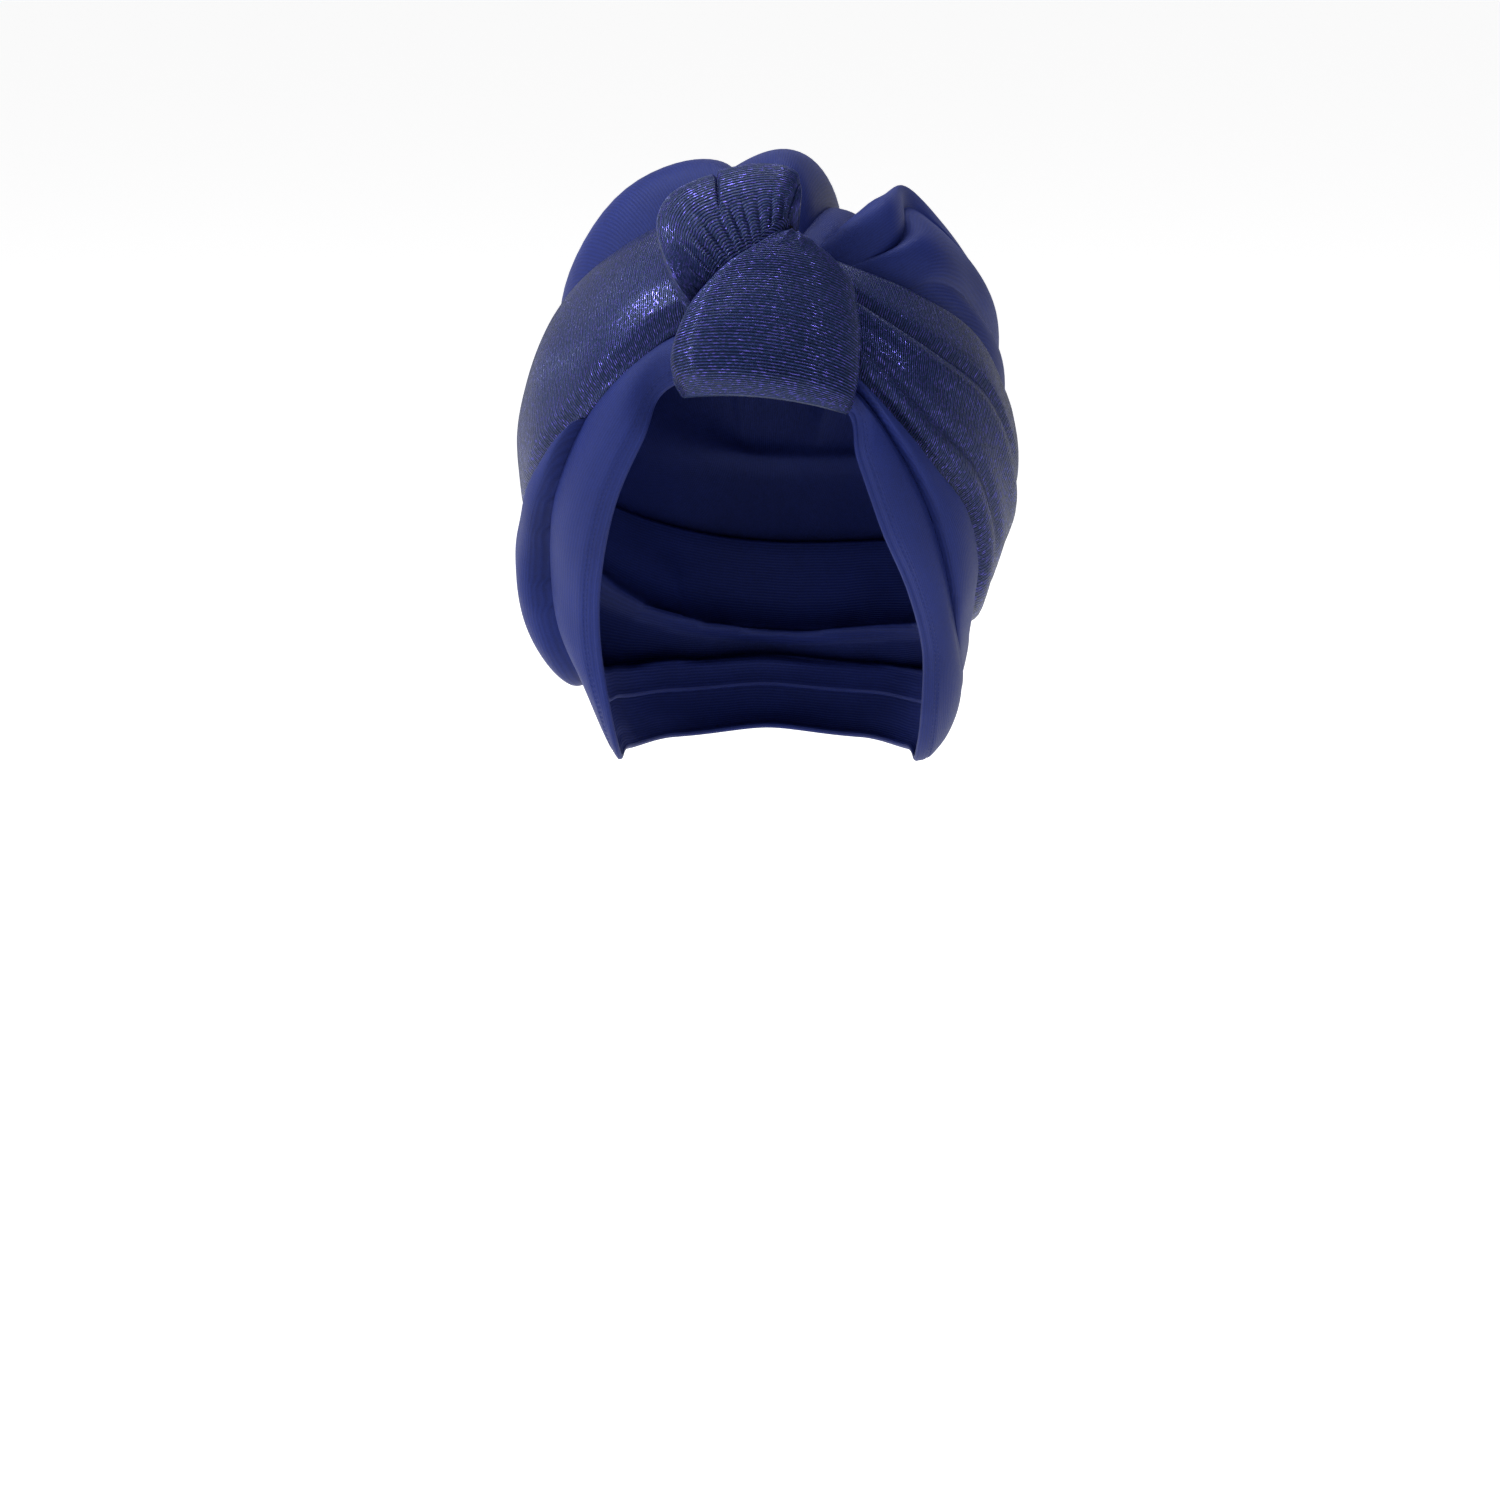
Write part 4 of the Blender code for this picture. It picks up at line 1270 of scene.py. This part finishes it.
@dataclass
class KnotFold(KnotPiece):
    """The broad fold that comes down over the front of the knot and turns under at the forehead."""

    rib_lines: RibLines = RibLines.ROWS
    ribs: RibRelief = RibRelief(0.20 * MM, seed=12.0, pitch=1.3 * MM)
    pleat_depth: float = 1.0 * MM
    table: Table = Table(
        ("left_az", "left_el", "right_az", "right_el", "height"),
        (
            (-22.2, 30.0, 19.4, 26.3, 0.47),
            (-23.4, 31.4, 20.2, 27.7, 0.53),
            (-24.6, 33.0, 20.8, 29.7, 0.59),
            (-24.6, 35.6, 21.4, 32.3, 0.65),
            (-23.4, 39.0, 22.2, 36.2, 0.71),
            (-21.6, 43.0, 23.4, 41.1, 0.74),
            (-18.4, 46.8, 24.2, 45.9, 0.75),
            (-13.4, 50.6, 25.0, 50.0, 0.78),
            (-6.8, 54.2, 22.5, 54.0, 0.77),
            (-0.4, 57.4, 18.4, 57.4, 0.74),
            (6.2, 60.0, 12.6, 60.2, 0.66),
        ),
        False,
    )

    def shape(self) -> tuple[Grid, Grid]:
        """Directions and lift, rolled at its left edge and turned under at the forehead."""
        places, shares = self.places(), self.shares()
        directions = across(self.table.line("left", places), self.table.line("right", places), shares)
        profile = flowing(
            (0.0, 0.04, 0.12, 0.26, 0.42, 0.6, 0.78, 0.92, 1.0),
            (0.66, 0.88, 1.0, 1.04, 1.03, 0.98, 0.90, 0.80, 0.70),
            shares,
        )
        lift = self.fullness * self.table.value("height", places)[:, None] * profile
        gather = smooth_step((places[:, None] - 6.5) / 3)
        pleats = -self.pleat_depth * gather * np.abs(np.sin(math.pi * shares[None, :] * 5.5)) ** 0.6
        return directions, lift + pleats

    def rolled(self) -> Grid:
        """The forehead edge turns under, and both sides are rolled."""
        places, shares = self.places()[:, None], self.shares()[None, :]
        sides = round_rise(shares / 0.05 + 0.2) * round_rise((1 - shares) / 0.03 + 0.3)
        return round_rise(places / 1.1 + 0.004) * sides

    def places(self) -> Grid:
        """Where each row lies in the table, closest together where the cloth turns under."""
        even = np.linspace(0, 1, self.rows)
        return (len(self.table.rows) - 1) * np.where(even < 0.14, even * even / 0.28, even - 0.07) / 0.93


@dataclass(frozen=True)
class Lamp:
    """A soft, square light that looks at the turban."""

    name: str
    place: Triple
    size: float
    power: float

    def build(self) -> None:
        """Add the light."""
        data = bpy.data.lights.new(self.name, "AREA")
        data.size, data.energy = self.size, self.power
        item = placed(self.name, data)
        item.location = self.place
        item.rotation_euler = (Vector((0, 0, -0.1)) - Vector(self.place)).to_track_quat("-Z", "Y").to_euler()


@dataclass(frozen=True)
class Studio:
    """The camera at the photograph's angle, soft light and a pale floor."""

    camera_place: Triple = (-0.0076, -2.640, 0.270)
    camera_pitch: float = 10.5
    focal_pixels: float = 6333.0
    image_pixels: float = 1500.0
    sensor: float = 36.0
    floor_level: float = -0.474
    floor_size: float = 60.0
    floor_glow: float = 0.88
    wall_glow: float = 0.6
    ceiling_glow: float = 0.05
    floor_color: Color = (0.55, 0.55, 0.56, 1)
    floor_roughness: float = 0.9
    lamps: tuple[Lamp, ...] = (
        Lamp("key", (-1.75, -0.18, 1.48), 0.5, 46),
        Lamp("top", (-0.7, 0.2, 2.2), 0.6, 28),
        Lamp("back", (0.2, 0.9, 2.0), 0.6, 16),
        Lamp("left", (-2.04, -0.99, 0.4), 0.4, 16),
        Lamp("low_left", (-2.0, -0.9, -0.2), 0.4, 6),
        Lamp("overhead", (0.55, -0.55, 2.1), 0.5, 11),
        Lamp("front", (-0.22, -1.27, 1.91), 0.25, 7),
        Lamp("right", (1.52, -1.37, 1.04), 0.3, 11),
    )

    def camera(self) -> None:
        """Make the camera."""
        data = bpy.data.cameras.new("camera")
        data.sensor_width = self.sensor
        data.lens = self.sensor * self.focal_pixels / self.image_pixels
        data.clip_end = 200
        item = placed("camera", data)
        item.location = self.camera_place
        item.rotation_euler = (math.pi / 2 - math.radians(self.camera_pitch), 0, 0)
        bpy.context.scene.camera = item

    def floor(self) -> None:
        """Add the floor."""
        half = self.floor_size / 2
        mesh = bpy.data.meshes.new("floor")
        sides = ((-half, -half), (half, -half), (half, half), (-half, half))
        mesh.from_pydata([(*side, self.floor_level) for side in sides], [], [(0, 1, 2, 3)])
        material = bpy.data.materials.new("floor")
        material.use_nodes = True
        shader = material.node_tree.nodes["Principled BSDF"]
        shader.inputs["Base Color"].default_value = self.floor_color
        shader.inputs["Roughness"].default_value = self.floor_roughness
        shader.inputs["Emission Color"].default_value = WHITE
        shader.inputs["Emission Strength"].default_value = self.floor_glow
        mesh.materials.append(material)
        item = placed("floor", mesh)

    def build(self) -> None:
        """Set the whole stage."""
        scene = bpy.context.scene
        world = bpy.data.worlds.new("studio")
        world.use_nodes = True
        sketch = NodeSketch(world.node_tree)
        aim = sketch.add("ShaderNodeTexCoord").outputs["Generated"]
        _, behind, rise = sketch.add("ShaderNodeSeparateXYZ", {0: aim}).outputs
        wall = sketch.times(sketch.spread(behind, 0.2, 0.8, 0, 1), sketch.spread(rise, 0.15, 0.80, 1, 0))
        near = sketch.math("MAXIMUM", wall, sketch.spread(rise, 0.02, 0.14, 0.5, 0))
        glow = sketch.spread(near, 0, 1, self.ceiling_glow, self.wall_glow)
        world.node_tree.links.new(glow, world.node_tree.nodes["Background"].inputs[1])
        world.node_tree.nodes["Background"].inputs[0].default_value = WHITE
        scene.world = world
        scene.view_settings.view_transform = "Standard"
        self.camera()
        self.floor()
        for lamp in self.lamps:
            lamp.build()


def main() -> None:
    """Make every piece in the order that the cloth is put on."""
    logging.basicConfig(level=logging.INFO, format="%(name)s %(message)s")
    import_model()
    Studio().build()
    scuba, lame = ScubaFinish().material(), LameFinish().material()
    face_band = FaceBand("face_band_cloth", "face_band", Slot.SCUBA).build(scuba)
    wrap = WrapBand("wrap_band_cloth", "wrap_band", Slot.LAME).build(lame)
    crown = Crown("crown_cloth", "crown_cap", Slot.SCUBA).build(scuba, wrap)
    side = SideCap("side_cap_cloth", "side_cap", Slot.SCUBA).build(scuba, [face_band, wrap, crown])
    laid = [face_band, wrap, crown, side]
    loop = KnotLoop("knot_loop_cloth", "knot_loop", Slot.LAME).build(lame, laid)
    KnotFold("knot_fold_cloth", "knot_fold", Slot.LAME).build(lame, [*laid, loop])


if __name__ == "__main__":
    main()
